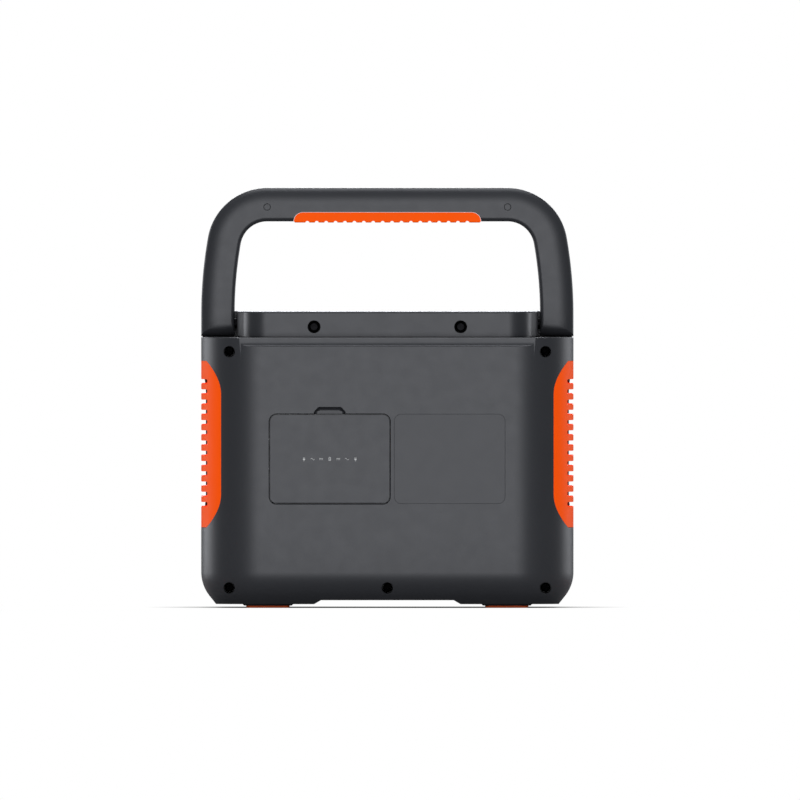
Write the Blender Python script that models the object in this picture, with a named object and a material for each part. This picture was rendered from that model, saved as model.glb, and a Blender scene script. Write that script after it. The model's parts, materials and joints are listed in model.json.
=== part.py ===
"""A portable power station: a two-part case with a folding carrying handle, a port bay behind a rear
door, vented side panels, a front panel of outlets, and the battery, inverter and fans inside.

The frame: +Z up, +Y towards the front panel, the port door on the -Y side, and the origin on the
ground below the middle of the case. The handle is modelled raised. It folds back, towards -Y, into
the ledge round the top deck. Sizes are written in millimetres and multiplied by MM.
"""

import math

import bmesh
import bpy
from mathutils import Vector

MM = 0.001
FIT = 0.3 * MM  # gap between pieces that touch
REACH = 20 * MM  # how far a cutter runs past what it cuts

# The case
BODY_WIDTH = 356 * MM
BODY_DEPTH = 260 * MM
BODY_HEIGHT = 283.3 * MM  # to the top of the deck
SHOULDER_Z = 258.4 * MM  # top of the two shells, where the folded handle lies
BOTTOM_Z = 3.5 * MM
WALL = 2.8 * MM
FLOOR_Z = 10.5 * MM  # inside face of the bottom
REAR_CORNER = (58 * MM, 57 * MM)  # width and depth of a rear corner's curve, seen from above
FRONT_CORNER = (40 * MM, 40 * MM)
BASE_START_Z = 34.2 * MM  # below this the wall curves in towards the bottom
BASE_RADIUS = 37 * MM
BASE_TURN = 38.5
EDGE = 1.5 * MM
CORNER_STEPS = 8
BASE_STEPS = 5
COVE_DEPTH = 3.9 * MM  # finger cove along the rear top edge
COVE_LOW_Z = SHOULDER_Z - 8.2 * MM
COVE_TOP_Z = SHOULDER_Z - 3.9 * MM
ARCH_TOP_HALF = 63.5 * MM  # raised middle of the underside
ARCH_FOOT_HALF = 70 * MM
ARCH_Z = 7.3 * MM

# Feet
FOOT_SIZE = (42 * MM, 25 * MM)
FOOT_TAPER = 1.0 * MM
FOOT_HEIGHT = 3.7 * MM
FOOT_X = 114.2 * MM
FOOT_Y = 92 * MM
FOOT_BOSS_MARGIN = 4.2 * MM
FOOT_BOSS_Z = 2.1 * MM
FOOT_CORNER = 5 * MM

# The handle: a band of even width that runs up, round two corners and across the top
HANDLE_HEIGHT = 401 * MM  # top of the raised handle
HANDLE_BAND = 32 * MM
HANDLE_THICK = 24 * MM
HANDLE_CORNER = 57.5 * MM
HANDLE_CORNER_X = 115 * MM
HANDLE_CORNER_TURN = 80  # degrees, and the long side curve turns the rest
HANDLE_EDGE = 4 * MM  # rounding along the band's inner edge
HANDLE_CROWN = (16 * MM, 7 * MM)  # how far the rounding along its outer edge reaches in, and how deep
HANDLE_SEAM = 0.15 * MM
PIVOT_Z = BODY_HEIGHT - HANDLE_THICK / 2
PIVOT_RADIUS = 5 * MM
PIVOT_INNER_X = 131 * MM
PIVOT_OUTER_X = 168 * MM
PIVOT_BOSS = 9 * MM
DECK_CLEARANCE = 2.2 * MM  # from the band's inner edge to the deck
CORE_OFFSETS = (9 * MM, 20 * MM)
CORE_THICK = 9 * MM
GRIP_HALF = 89.4 * MM
GRIP_TOP_HALF = 80.5 * MM
GRIP_HEIGHT = 8.6 * MM  # how far the grip reaches up into the band
GRIP_PROUD = 1.1 * MM  # how far it stands out below the band
GRIP_RIB_PITCH = 9 * MM
GRIP_GROOVES = 18
GRIP_GROOVE_DEPTH = 1.7 * MM
PLUG_X = 115 * MM
PLUG_DROP = 18.2 * MM  # below the handle's top
PLUG_RADIUS = 3.1 * MM
PLUG_LENGTH = 4 * MM

# The top deck
DECK_FRONT_Y = 14 * MM  # the full-width front block starts here, just ahead of the arms
DECK_WALL = 2.6 * MM
DECK_SCREW_X = 70.1 * MM
DECK_SCREW_Z = 268.6 * MM
DECK_BORE = 6 * MM
DECK_TAB_Y = 70 * MM
DECK_TAB = (20 * MM, 4 * MM, 17 * MM)
DECK_OPENING = (130 * MM, -60 * MM, 100 * MM)  # half width, rear and front of the hole below the deck

# Screws
SCREW_X = 151.2 * MM
SCREW_TOP_Z = 245 * MM
SCREW_LOW_Z = 19.1 * MM
SCREW_BORE = 5.45 * MM
SCREW_TUBE = 7.6 * MM
SCREW_SEAT_Y = -6 * MM
SCREW_HEAD = (4.3 * MM, 2.6 * MM)
SCREW_SHANK = (1.9 * MM, 38 * MM)
DECK_SCREW_SHANK = 12 * MM

# Side panels
PANEL_LOW_Z = 77 * MM
PANEL_HIGH_Z = 235.8 * MM
PANEL_REAR_Y = -114.8 * MM
PANEL_FRONT_Y = 108 * MM
PANEL_CORNER = 35.5 * MM
PANEL_CORNER_TURN = 62
PANEL_DEPTH = 9 * MM
SLOT_COUNT = 13
SLOT_CENTRE_Z = 157.6 * MM
SLOT_PITCH = 9.79 * MM
SLOT_HEIGHT = 4.4 * MM
SLOT_DEPTH = 5.8 * MM
VENT_HALF_LENGTH = 36 * MM
VENT_HEIGHT = 3 * MM
VENT_ROWS = 7

# The rear port bay, its door and the label beside it
DOOR_SIZE = (116.3 * MM, 86.7 * MM)  # of the opening
DOOR_CENTRE = (-55.1 * MM, 142.3 * MM)
DOOR_CORNER = 7.5 * MM
DOOR_GAP = 0.9 * MM
DOOR_THICK = 4 * MM
DOOR_HINGE = 0.9 * MM  # from the door's outer face and from its lower edge to the hinge line
DOOR_PIN = 0.4 * MM
DOOR_RELIEF = (1.35 * MM, 2.8 * MM)  # radius about the hinge line, and distance from the opening's sides
COLLAR = 3 * MM
COLLAR_DEPTH = 9 * MM
NOTCH_HALF = 14.8 * MM
NOTCH_TOP_HALF = 10.5 * MM
NOTCH_HEIGHT = 6.2 * MM
NOTCH_DEPTH = 5.5 * MM
BAY_LEDGE = 5.5 * MM
BAY_WALL = 2 * MM
BAY_DEPTH = 34 * MM
LABEL_SIZE = (106.2 * MM, 85.8 * MM)
LABEL_CENTRE = (59.6 * MM, 142.5 * MM)
LABEL_THICK = 0.8 * MM
LABEL_POCKET = 1.0 * MM
BACKING = 1.6 * MM  # the wall is thicker behind the label

# Front panel
FASCIA_SIZE = (252 * MM, 172 * MM)
FASCIA_CENTRE_Z = 150 * MM
FASCIA_CORNER = 16 * MM
FASCIA_THICK = 3 * MM
FASCIA_LIP = 3 * MM

CIRCLE = 24  # sides of a round piece
SMALL_CIRCLE = 16


# ---------------------------------------------------------------- outlines


def arc(centre, radii, start, end, steps):
    """Points along part of an ellipse, from one angle in degrees to another, both included."""
    points = []
    for step in range(steps + 1):
        angle = math.radians(start + (end - start) * step / steps)
        points.append((centre[0] + radii[0] * math.cos(angle), centre[1] + radii[1] * math.sin(angle)))
    return points


def circle(centre, radius, sides=CIRCLE):
    return arc(centre, (radius, radius), 0, 360 - 360 / sides, sides - 1)


def rectangle(low, high):
    return [(low[0], low[1]), (high[0], low[1]), (high[0], high[1]), (low[0], high[1])]


def rounded_rectangle(centre, size, radius, steps=4):
    points = []
    for quarter, (side_x, side_y) in enumerate(((1, 1), (-1, 1), (-1, -1), (1, -1))):
        corner = (
            centre[0] + side_x * (size[0] / 2 - radius),
            centre[1] + side_y * (size[1] / 2 - radius),
        )
        points += arc(corner, (radius, radius), 90 * quarter, 90 * (quarter + 1), steps)
    return points


def base_profile(inset, floor):
    """(inset, z) up the curved foot of the case wall, from a floor level to where the wall is upright."""
    radius = BASE_RADIUS - inset
    turn = math.radians(BASE_TURN)
    low_z = BASE_START_Z - radius * math.sin(turn)
    profile = [(BASE_RADIUS - radius * math.cos(turn) + (low_z - floor) * math.tan(turn), floor)]
    for step in range(BASE_STEPS + 1):
        angle = turn * (1 - step / BASE_STEPS)
        profile.append((BASE_RADIUS - radius * math.cos(angle), BASE_START_Z - radius * math.sin(angle)))
    return profile


def case_outline(inset):
    """The case seen from above, with its wall drawn in by inset."""
    points = []
    for quarter, (side_x, side_y) in enumerate(((1, 1), (-1, 1), (-1, -1), (1, -1))):
        corner = REAR_CORNER if side_y < 0 else FRONT_CORNER
        centre = (side_x * (BODY_WIDTH / 2 - corner[0]), side_y * (BODY_DEPTH / 2 - corner[1]))
        radii = (corner[0] - inset, corner[1] - inset)
        points += arc(centre, radii, 90 * quarter, 90 * (quarter + 1), CORNER_STEPS)
    return points


def handle_edge(offset):
    """Half of the handle's outer edge, moved inwards by offset: (x, distance from the pivot) from the
    top's straight run, round the corner and down the long side curve to the arm's upright foot."""
    turn = math.radians(90 - HANDLE_CORNER_TURN)
    corner_up = HANDLE_HEIGHT - PIVOT_Z - HANDLE_CORNER
    side = (BODY_WIDTH / 2 - HANDLE_CORNER_X - HANDLE_CORNER * math.cos(turn)) / (1 - math.cos(turn))
    side_x = BODY_WIDTH / 2 - side
    side_up = corner_up - (side - HANDLE_CORNER) * math.sin(turn)
    corner_radius = HANDLE_CORNER - offset
    side_radius = side - offset
    bend = arc(
        (HANDLE_CORNER_X, corner_up), (corner_radius, corner_radius), 90, 90 - HANDLE_CORNER_TURN, 7
    )
    flank = arc((side_x, side_up), (side_radius, side_radius), 90 - HANDLE_CORNER_TURN, 0, 3)
    return bend + flank[1:]


def handle_band(outer, inner, foot):
    """The whole band between two offsets, down to a foot level, as one closed outline in x and z."""
    half = [point for point in handle_edge(outer) if point[1] > foot]
    half += [(BODY_WIDTH / 2 - outer, foot), (BODY_WIDTH / 2 - inner, foot)]
    half += [point for point in reversed(handle_edge(inner)) if point[1] > foot]
    right = [(x, PIVOT_Z + up) for x, up in half]
    return right + [(-x, z) for x, z in reversed(right)]


def deck_outline(inset):
    """The deck seen from above: a full-width front block, and a tongue inside the folded handle."""
    front = [point for point in case_outline(inset) if point[1] > DECK_FRONT_Y + inset]
    half_block = BODY_WIDTH / 2 - inset
    start_y = DECK_FRONT_Y + inset
    edge = handle_edge(HANDLE_BAND + DECK_CLEARANCE + inset)
    tongue = [(x, -up) for x, up in edge]  # folded, so that the distance up is a distance back
    left = [(-x, y) for x, y in tongue]
    arm_x = tongue[-1][0]
    return (
        front
        + [(-half_block, start_y), (-arm_x, start_y)]
        + list(reversed(left))
        + tongue
        + [(arm_x, start_y), (half_block, start_y)]
    )


def panel_outline(margin):
    """A side panel seen from the side, in y and z. Its corners turn only part way to the level edges."""
    points = []
    turn = PANEL_CORNER_TURN
    rise = PANEL_CORNER * math.sin(math.radians(turn))
    for end_y, side in ((PANEL_FRONT_Y, 1), (PANEL_REAR_Y, -1)):
        centre_y = end_y - side * PANEL_CORNER
        radius = PANEL_CORNER + margin
        high = arc((centre_y, PANEL_HIGH_Z - rise), (radius, radius), 0, turn, 5)
        low = arc((centre_y, PANEL_LOW_Z + rise), (radius, radius), -turn, 0, 5)
        quarter = [(centre_y + side * (y - centre_y), z) for y, z in low + high]
        points += quarter if side > 0 else reversed(quarter)
    return points


# ---------------------------------------------------------------- solids


def place_point(axis, first, second, along):
    """The point of an outline, put in space. The outline lies across the axis, in x, y, z order."""
    return {"X": (along, first, second), "Y": (first, along, second), "Z": (first, second, along)}[axis]


def lofted(rings):
    """A closed skin over rings that have the same number of points, capped at both ends."""
    mesh = bmesh.new()
    rows = [[mesh.verts.new(point) for point in ring] for ring in rings]
    for lower, upper in zip(rows, rows[1:]):
        for index in range(len(lower)):
            after = (index + 1) % len(lower)
            mesh.faces.new((lower[index], lower[after], upper[after], upper[index]))
    mesh.faces.new(list(reversed(rows[0])))
    mesh.faces.new(rows[-1])
    bmesh.ops.recalc_face_normals(mesh, faces=mesh.faces)
    return mesh


def prism(outline, axis, low, high):
    return lofted([[place_point(axis, a, b, along) for a, b in outline] for along in (low, high)])


def block(low, high):
    return prism(rectangle(low[:2], high[:2]), "Z", low[2], high[2])


def rod(centre, radius, axis, low, high, sides=CIRCLE):
    return prism(circle(centre, radius, sides), axis, low, high)


def turned(centre, axis, profile, sides=CIRCLE):
    """A round piece from (distance along the axis, radius) pairs."""
    return lofted(
        [
            [place_point(axis, a, b, along) for a, b in circle(centre, radius, sides)]
            for along, radius in profile
        ]
    )


def case_solid(inset, floor, top):
    """The whole case as one solid, with its wall drawn in by inset."""
    profile = base_profile(inset, floor) + [(inset, top)]
    return lofted([[(x, y, z) for x, y in case_outline(wall)] for wall, z in profile])


def together(meshes):
    """Several separate solids as one cutter."""
    whole = bmesh.new()
    for mesh in meshes:
        data = bpy.data.meshes.new("loose")
        mesh.to_mesh(data)
        mesh.free()
        whole.from_mesh(data)
        bpy.data.meshes.remove(data)
    return whole


def soften(mesh, width, chosen, segments=1):
    """Bevels the edges whose two ends both pass the test."""
    edges = [edge for edge in mesh.edges if all(chosen(vert.co) for vert in edge.verts)]
    bmesh.ops.bevel(mesh, geom=edges, offset=width, segments=segments, affect="EDGES", profile=0.5)
    return mesh


def near(value, target):
    return abs(value - target) < 0.01 * MM


# ---------------------------------------------------------------- pieces


def make(name, mesh, material, origin=(0, 0, 0), parent=None):
    """Turns a bmesh drawn in place into a named object with its origin at the given point."""
    data = bpy.data.meshes.new(name)
    bmesh.ops.translate(mesh, verts=mesh.verts, vec=-Vector(origin))
    mesh.to_mesh(data)
    mesh.free()
    data.shade_smooth()
    data.set_sharp_from_angle(angle=math.radians(35))
    piece = bpy.data.objects.new(name, data)
    bpy.context.scene.collection.objects.link(piece)
    piece.location = origin
    if parent:
        piece.parent = parent
        piece.location = Vector(origin) - parent.location
    if material:
        data.materials.append(material)
    return piece


def tool(shape, keep_in=None, keep_out=None):
    """A helper shape for a Boolean, itself kept inside one solid and outside another."""
    helper = make("tool", shape, None)
    helper.hide_render = True
    helper.display_type = "WIRE"
    if keep_in:
        boolean(helper, keep_in, "INTERSECT")
    if keep_out:
        boolean(helper, keep_out, "DIFFERENCE")
    return helper


def boolean(piece, shape, operation):
    modifier = piece.modifiers.new(operation.lower(), "BOOLEAN")
    modifier.operation = operation
    modifier.solver = "EXACT"
    modifier.object = shape if isinstance(shape, bpy.types.Object) else tool(shape)


def cut(piece, *shapes):
    for shape in shapes:
        boolean(piece, shape, "DIFFERENCE")


def join(piece, *shapes):
    for shape in shapes:
        boolean(piece, shape, "UNION")


def material(name, colour, roughness, metallic=0.0):
    made = bpy.data.materials.new(name)
    made.use_nodes = True
    shader = made.node_tree.nodes["Principled BSDF"]
    shader.inputs["Base Color"].default_value = (*colour, 1)
    shader.inputs["Roughness"].default_value = roughness
    shader.inputs["Metallic"].default_value = metallic
    return made


for old in list(bpy.data.objects):
    bpy.data.objects.remove(old)

body_plastic = material("body_plastic", (0.09, 0.092, 0.098), 0.5)
orange_plastic = material("orange_plastic", (0.95, 0.14, 0.01), 0.5)
grip_rubber = material("grip_rubber", (0.9, 0.13, 0.01), 0.7)
foot_rubber = material("foot_rubber", (0.75, 0.12, 0.02), 0.8)
black_plastic = material("black_plastic", (0.02, 0.02, 0.022), 0.45)
display_glass = material("display", (0.01, 0.012, 0.015), 0.1)
light_diffuser = material("light_lens", (0.8, 0.8, 0.76), 0.3)
label_film = material("label", (0.085, 0.087, 0.093), 0.4)
steel = material("steel", (0.5, 0.5, 0.5), 0.3, 1.0)
aluminium = material("aluminium", (0.75, 0.75, 0.77), 0.4, 1.0)
circuit_board = material("circuit_board", (0.02, 0.14, 0.06), 0.5)
battery_wrap = material("battery_wrap", (0.05, 0.09, 0.3), 0.5)
wound_copper = material("wound_copper", (0.6, 0.5, 0.1), 0.4)


# ---------------------------------------------------------------- the two shells


def half_space(side):
    """A block over everything on one side of y = 0, and over half of the seam beyond it."""
    far = 200 * MM * side
    near_y = -FIT / 2 * side
    return block((-250 * MM, min(far, near_y), -50 * MM), (250 * MM, max(far, near_y), 450 * MM))


def wall_frame(centre, size, corner, margin, y_from, y_to):
    """A rounded block through a front or rear wall, for an opening or the collar round it."""
    outline = rounded_rectangle(
        centre, (size[0] + 2 * margin, size[1] + 2 * margin), corner + margin
    )
    return prism(outline, "Y", min(y_from, y_to), max(y_from, y_to))


def side_block(side, margin):
    """A side panel's outline, run through the side wall along X."""
    low, high = sorted((side * 140 * MM, side * 200 * MM))
    return prism(panel_outline(margin), "X", low, high)


def upright(inset):
    """The case's outline as a straight column."""
    return prism(case_outline(inset), "Z", -20 * MM, BODY_HEIGHT + REACH)


SCREWS = [(0, SCREW_LOW_Z)] + [(side * SCREW_X, z) for side in (-1, 1) for z in (SCREW_LOW_Z, SCREW_TOP_Z)]
FEET = [(side * FOOT_X, end * FOOT_Y) for end in (-1, 1) for side in (-1, 1)]
POCKET_DEPTH = PANEL_DEPTH + FIT
SKIN_DEPTH = POCKET_DEPTH + 2.7 * MM
FAN_RADIUS = 36.5 * MM
FAN_HALF = 40 * MM


def foot_block(centre, margin, low, high, taper):
    size = (FOOT_SIZE[0] + 2 * margin, FOOT_SIZE[1] + 2 * margin)
    small = (size[0] - 2 * taper, size[1] - 2 * taper)
    rings = []
    for z, extent in ((low, small), (high, size)):
        rings.append([(x, y, z) for x, y in rounded_rectangle(centre, extent, FOOT_CORNER, 3)])
    return lofted(rings)


def shell(name, side):
    """Half of the case: -1 is the rear half, 1 the front half."""
    piece = make(name, case_solid(0, BOTTOM_Z, SHOULDER_Z), body_plastic)
    cut(piece, case_solid(WALL, FLOOR_Z, SHOULDER_Z - WALL), half_space(-side))
    posts = together(
        [
            rod(
                place,
                SCREW_TUBE,
                "Y",
                min(side * 150 * MM, side * FIT / 2),
                max(side * 150 * MM, side * FIT / 2),
            )
            for place in SCREWS
        ]
    )
    join(piece, tool(posts, keep_in=case_solid(1 * MM, BOTTOM_Z + MM, SHOULDER_Z - MM)))
    for hand in (-1, 1):
        backing = tool(side_block(hand, 3.3 * MM), keep_in=upright(0.5 * MM), keep_out=upright(SKIN_DEPTH))
        boolean(backing, half_space(-side), "DIFFERENCE")
        join(piece, backing)
        cut(piece, tool(side_block(hand, FIT), keep_out=upright(POCKET_DEPTH)))
    cut(piece, rod((0, SLOT_CENTRE_Z), FAN_RADIUS + MM, "X", -173 * MM, 173 * MM, 32))
    for place in FEET:
        if place[1] * side > 0:
            join(piece, foot_block(place, FOOT_BOSS_MARGIN, FOOT_BOSS_Z, BOTTOM_Z + MM, 2.4 * MM))
            cut(piece, foot_block(place, FIT, 0, FOOT_HEIGHT + FIT, 0))
    half, rear, front = DECK_OPENING
    cut(piece, block((-half, rear, SHOULDER_Z - REACH), (half, front, SHOULDER_Z + REACH)))
    reach_z = ARCH_Z - BOTTOM_Z
    reach_x = ARCH_FOOT_HALF - ARCH_TOP_HALF
    arch = [
        (-ARCH_FOOT_HALF - reach_x, BOTTOM_Z - reach_z),
        (ARCH_FOOT_HALF + reach_x, BOTTOM_Z - reach_z),
        (ARCH_TOP_HALF, ARCH_Z),
        (-ARCH_TOP_HALF, ARCH_Z),
    ]
    cut(piece, prism(arch, "Y", -200 * MM, 200 * MM))
    return piece


rear_shell = shell("rear_shell", -1)
front_shell = shell("front_shell", 1)

# The cove along the rear top edge
cove_rise = COVE_TOP_Z - COVE_LOW_Z
rear_y = -BODY_DEPTH / 2
cove = [
    (rear_y - COVE_DEPTH, COVE_LOW_Z - cove_rise),
    (rear_y + COVE_DEPTH, COVE_TOP_Z),
    (rear_y + COVE_DEPTH, SHOULDER_Z + REACH),
    (rear_y - COVE_DEPTH, SHOULDER_Z + REACH),
]
cut(rear_shell, prism(cove, "X", -200 * MM, 200 * MM))

# Screw bores: wide from the rear down to the seat, then the shank's own hole into the front half
cut(
    rear_shell,
    together([rod(place, SCREW_BORE, "Y", -150 * MM, SCREW_SEAT_Y) for place in SCREWS]),
    together([rod(place, SCREW_SHANK[0] + FIT, "Y", SCREW_SEAT_Y - MM, REACH) for place in SCREWS]),
)
shank_end = SCREW_SEAT_Y + SCREW_SHANK[1]
cut(
    front_shell,
    together([rod(place, SCREW_SHANK[0] + 0.15 * MM, "Y", -MM, shank_end + MM) for place in SCREWS]),
)

# Tabs that hold the deck's two screws
tab_thick = DECK_TAB[1]
for side in (-1, 1):
    x = side * DECK_SCREW_X
    tab = block(
        (x - DECK_TAB[0] / 2, -DECK_TAB_Y, SHOULDER_Z - MM),
        (x + DECK_TAB[0] / 2, -DECK_TAB_Y + tab_thick, SHOULDER_Z + DECK_TAB[2]),
    )
    join(rear_shell, tab)
cut(
    rear_shell,
    together(
        [
            rod((side * DECK_SCREW_X, DECK_SCREW_Z), SCREW_SHANK[0] + 0.15 * MM, "Y", -80 * MM, -50 * MM)
            for side in (-1, 1)
        ]
    ),
)

# The door's opening with its collar, the finger notch above it, and the label's shallow pocket
collar_y = rear_y + COLLAR_DEPTH
notch_z = DOOR_CENTRE[1] + DOOR_SIZE[1] / 2
join(rear_shell, wall_frame(DOOR_CENTRE, DOOR_SIZE, DOOR_CORNER, COLLAR, rear_y + MM, collar_y))
join(
    rear_shell,
    block(
        (DOOR_CENTRE[0] - NOTCH_HALF - COLLAR, rear_y + MM, notch_z - MM),
        (DOOR_CENTRE[0] + NOTCH_HALF + COLLAR, collar_y, notch_z + NOTCH_HEIGHT + COLLAR),
    ),
    wall_frame(LABEL_CENTRE, LABEL_SIZE, DOOR_CORNER, 3 * MM, rear_y + MM, rear_y + WALL + BACKING),
)
notch = [
    (DOOR_CENTRE[0] - NOTCH_HALF, notch_z - 3 * MM),
    (DOOR_CENTRE[0] + NOTCH_HALF, notch_z - 3 * MM),
    (DOOR_CENTRE[0] + NOTCH_HALF, notch_z + 1.5 * MM),
    (DOOR_CENTRE[0] + NOTCH_TOP_HALF, notch_z + NOTCH_HEIGHT),
    (DOOR_CENTRE[0] - NOTCH_TOP_HALF, notch_z + NOTCH_HEIGHT),
    (DOOR_CENTRE[0] - NOTCH_HALF, notch_z + 1.5 * MM),
]
cut(
    rear_shell,
    wall_frame(DOOR_CENTRE, DOOR_SIZE, DOOR_CORNER, 0, -150 * MM, -100 * MM),
    prism(notch, "Y", -150 * MM, rear_y + NOTCH_DEPTH),
    wall_frame(LABEL_CENTRE, LABEL_SIZE, DOOR_CORNER, 0, -150 * MM, rear_y + LABEL_POCKET),
)

# The front panel's opening: a pocket for its edge, and a smaller hole through
front_y = BODY_DEPTH / 2
fascia_centre = (0, FASCIA_CENTRE_Z)
fascia_back = front_y - 4 * MM
join(
    front_shell,
    wall_frame(fascia_centre, FASCIA_SIZE, FASCIA_CORNER, 3 * MM, fascia_back - 3 * MM, front_y - MM),
)
cut(
    front_shell,
    wall_frame(fascia_centre, FASCIA_SIZE, FASCIA_CORNER, FIT, fascia_back - FIT, 150 * MM),
    wall_frame(fascia_centre, FASCIA_SIZE, FASCIA_CORNER, -FASCIA_LIP, 100 * MM, 150 * MM),
)

# ---------------------------------------------------------------- top deck

deck_low = SHOULDER_Z + FIT
deck_mesh = prism(deck_outline(0), "Z", deck_low, BODY_HEIGHT)
soften(deck_mesh, EDGE, lambda point: near(point.z, BODY_HEIGHT), 2)
top_deck = make("top_deck", deck_mesh, body_plastic)
cut(top_deck, prism(deck_outline(DECK_WALL), "Z", deck_low - REACH, BODY_HEIGHT - DECK_WALL))
deck_side_x = BODY_WIDTH / 2 - HANDLE_BAND - DECK_CLEARANCE
for side in (-1, 1):
    low, high = sorted((side * PIVOT_INNER_X, side * (deck_side_x - MM)))
    join(top_deck, rod((0, PIVOT_Z), PIVOT_BOSS, "X", low, high))
    low, high = sorted((side * (PIVOT_INNER_X - MM), side * (deck_side_x + MM)))
    cut(top_deck, rod((0, PIVOT_Z), PIVOT_RADIUS + 0.05 * MM, "X", low, high))
deck_rear_y = -(HANDLE_HEIGHT - PIVOT_Z - HANDLE_BAND - DECK_CLEARANCE)
deck_seat_y = -DECK_TAB_Y - FIT - 3.5 * MM
deck_screws = [(side * DECK_SCREW_X, DECK_SCREW_Z) for side in (-1, 1)]
join(
    top_deck,
    together([rod(p, DECK_BORE + 1.8 * MM, "Y", deck_rear_y + MM, -DECK_TAB_Y - FIT) for p in deck_screws]),
)
cut(
    top_deck,
    together([rod(p, DECK_BORE, "Y", deck_rear_y - MM, deck_seat_y) for p in deck_screws]),
    together([rod(p, SCREW_SHANK[0] + FIT, "Y", deck_seat_y - MM, -DECK_TAB_Y + MM) for p in deck_screws]),
)

# ---------------------------------------------------------------- handle

pivot = (0, 0, PIVOT_Z)
half_thick = HANDLE_THICK / 2
grip_low = HANDLE_HEIGHT - HANDLE_BAND


def rounding(depth, reach, rise):
    """How far an elliptical edge has drawn in at a depth measured from the handle's middle."""
    beyond = max(0.0, depth - (half_thick - rise)) / rise
    return reach * (1 - math.sqrt(1 - min(1.0, beyond**2)))


def grip_outline(margin, lift=0.0):
    """The grip from the side: flat below, with a curved ramp up at each end."""
    ramp = arc(
        (GRIP_TOP_HALF, grip_low),
        (GRIP_HALF - GRIP_TOP_HALF + margin, GRIP_HEIGHT + margin),
        0,
        90,
        5,
    )
    low = grip_low - GRIP_PROUD + lift - (REACH if margin else 0)
    right = [(GRIP_HALF - (0 if margin else 1.5 * MM) + margin, low)] + ramp
    return right + [(-x, z) for x, z in reversed(right)]


def handle_half(name, side, parent):
    """Half of the handle as a loft across its thickness, with rounded edges and round feet."""
    rings = []
    for depth in (HANDLE_SEAM, 3 * MM, 6 * MM, 8 * MM, 10 * MM, 11.3 * MM, half_thick):
        outer = rounding(depth, *HANDLE_CROWN)
        inner = rounding(depth, HANDLE_EDGE, HANDLE_EDGE)
        foot = -math.sqrt(half_thick**2 - depth**2)
        rings.append([(x, side * depth, z) for x, z in handle_band(outer, HANDLE_BAND - inner, foot)])
    piece = make(name, lofted(rings), body_plastic, pivot, parent)
    low, high = sorted((0, side * (CORE_THICK / 2 + FIT)))
    cut(
        piece,
        prism(handle_band(CORE_OFFSETS[0] - FIT, CORE_OFFSETS[1] + FIT, 15.7 * MM), "Y", low - MM, high),
    )
    for hand in (-1, 1):
        low, high = sorted((hand * (BODY_WIDTH / 2 - HANDLE_BAND - MM), hand * (PIVOT_OUTER_X + FIT)))
        cut(piece, rod((0, PIVOT_Z), PIVOT_RADIUS + 0.1 * MM, "X", low, high))
    cut(piece, prism(grip_outline(FIT), "Y", -REACH, REACH))
    return piece


handle_rear_half = handle_half("handle_rear_half", -1, None)
handle_front_half = handle_half("handle_front_half", 1, handle_rear_half)
plug_z = HANDLE_HEIGHT - PLUG_DROP
plug_places = [(side * PLUG_X, plug_z) for side in (-1, 1)]
cut(
    handle_rear_half,
    together(
        [
            rod(p, PLUG_RADIUS + 0.15 * MM, "Y", -REACH, -half_thick + PLUG_LENGTH + FIT, SMALL_CIRCLE)
            for p in plug_places
        ],
    ),
)
for hand, place in zip(("left", "right"), plug_places):
    depths = [(-half_thick + 0.2 * MM, PLUG_RADIUS), (-half_thick + PLUG_LENGTH, PLUG_RADIUS - 0.1 * MM)]
    plug = turned(place, "Y", depths, SMALL_CIRCLE)
    make("handle_plug_" + hand, plug, black_plastic, pivot, handle_rear_half)

core = prism(handle_band(*CORE_OFFSETS, 16 * MM), "Y", -CORE_THICK / 2, CORE_THICK / 2)
make("handle_core", core, aluminium, pivot, handle_rear_half)

grip_rings = []
for depth, lift in ((-12, 1.0), (-11.6, 0.5), (-10.8, 0), (10.8, 0), (11.6, 0.5), (12, 1.0)):
    grip_rings.append([(x, depth * MM, z) for x, z in grip_outline(0, lift * MM)])
grip_mesh = lofted(grip_rings)
handle_grip = make("handle_grip", grip_mesh, grip_rubber, pivot, handle_rear_half)
grooves = []
for index in range(GRIP_GROOVES):
    x = (index - (GRIP_GROOVES - 1) / 2) * GRIP_RIB_PITCH
    grooves.append(rod((x, grip_low - GRIP_PROUD - 0.2 * MM), GRIP_GROOVE_DEPTH, "Y", -REACH, REACH, 10))
cut(handle_grip, together(grooves))

for hand, side in (("left", -1), ("right", 1)):
    profile = [
        (side * (PIVOT_INNER_X - 2.3 * MM), 7 * MM),
        (side * (PIVOT_INNER_X - 0.3 * MM), 7 * MM),
        (side * (PIVOT_INNER_X - 0.3 * MM), PIVOT_RADIUS),
        (side * (PIVOT_OUTER_X - MM), PIVOT_RADIUS),
        (side * PIVOT_OUTER_X, PIVOT_RADIUS - MM),
    ]
    make("hinge_pin_" + hand, turned((0, PIVOT_Z), "X", profile), steel, (side * PIVOT_INNER_X, 0, PIVOT_Z))

# ---------------------------------------------------------------- feet and screws

for (x, y), name in zip(FEET, ("rear_left", "rear_right", "front_left", "front_right")):
    make("foot_" + name, foot_block((x, y), 0, 0, FOOT_HEIGHT, FOOT_TAPER), foot_rubber, (x, y, 0))


def screw(name, place, seat_y, length):
    """A pan-head screw driven towards +Y, with a hexagonal socket."""
    head, tall = SCREW_HEAD
    profile = [
        (seat_y - tall, head - 0.8 * MM),
        (seat_y - tall + 0.8 * MM, head),
        (seat_y - 0.05 * MM, head),
        (seat_y - 0.05 * MM, SCREW_SHANK[0]),
        (seat_y + length - MM, SCREW_SHANK[0]),
        (seat_y + length, 0.8 * MM),
    ]
    piece = make(name, turned(place, "Y", profile, SMALL_CIRCLE), steel, (place[0], seat_y, place[1]))
    cut(piece, rod(place, 1.7 * MM, "Y", seat_y - REACH, seat_y - 1.1 * MM, 6))


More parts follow.
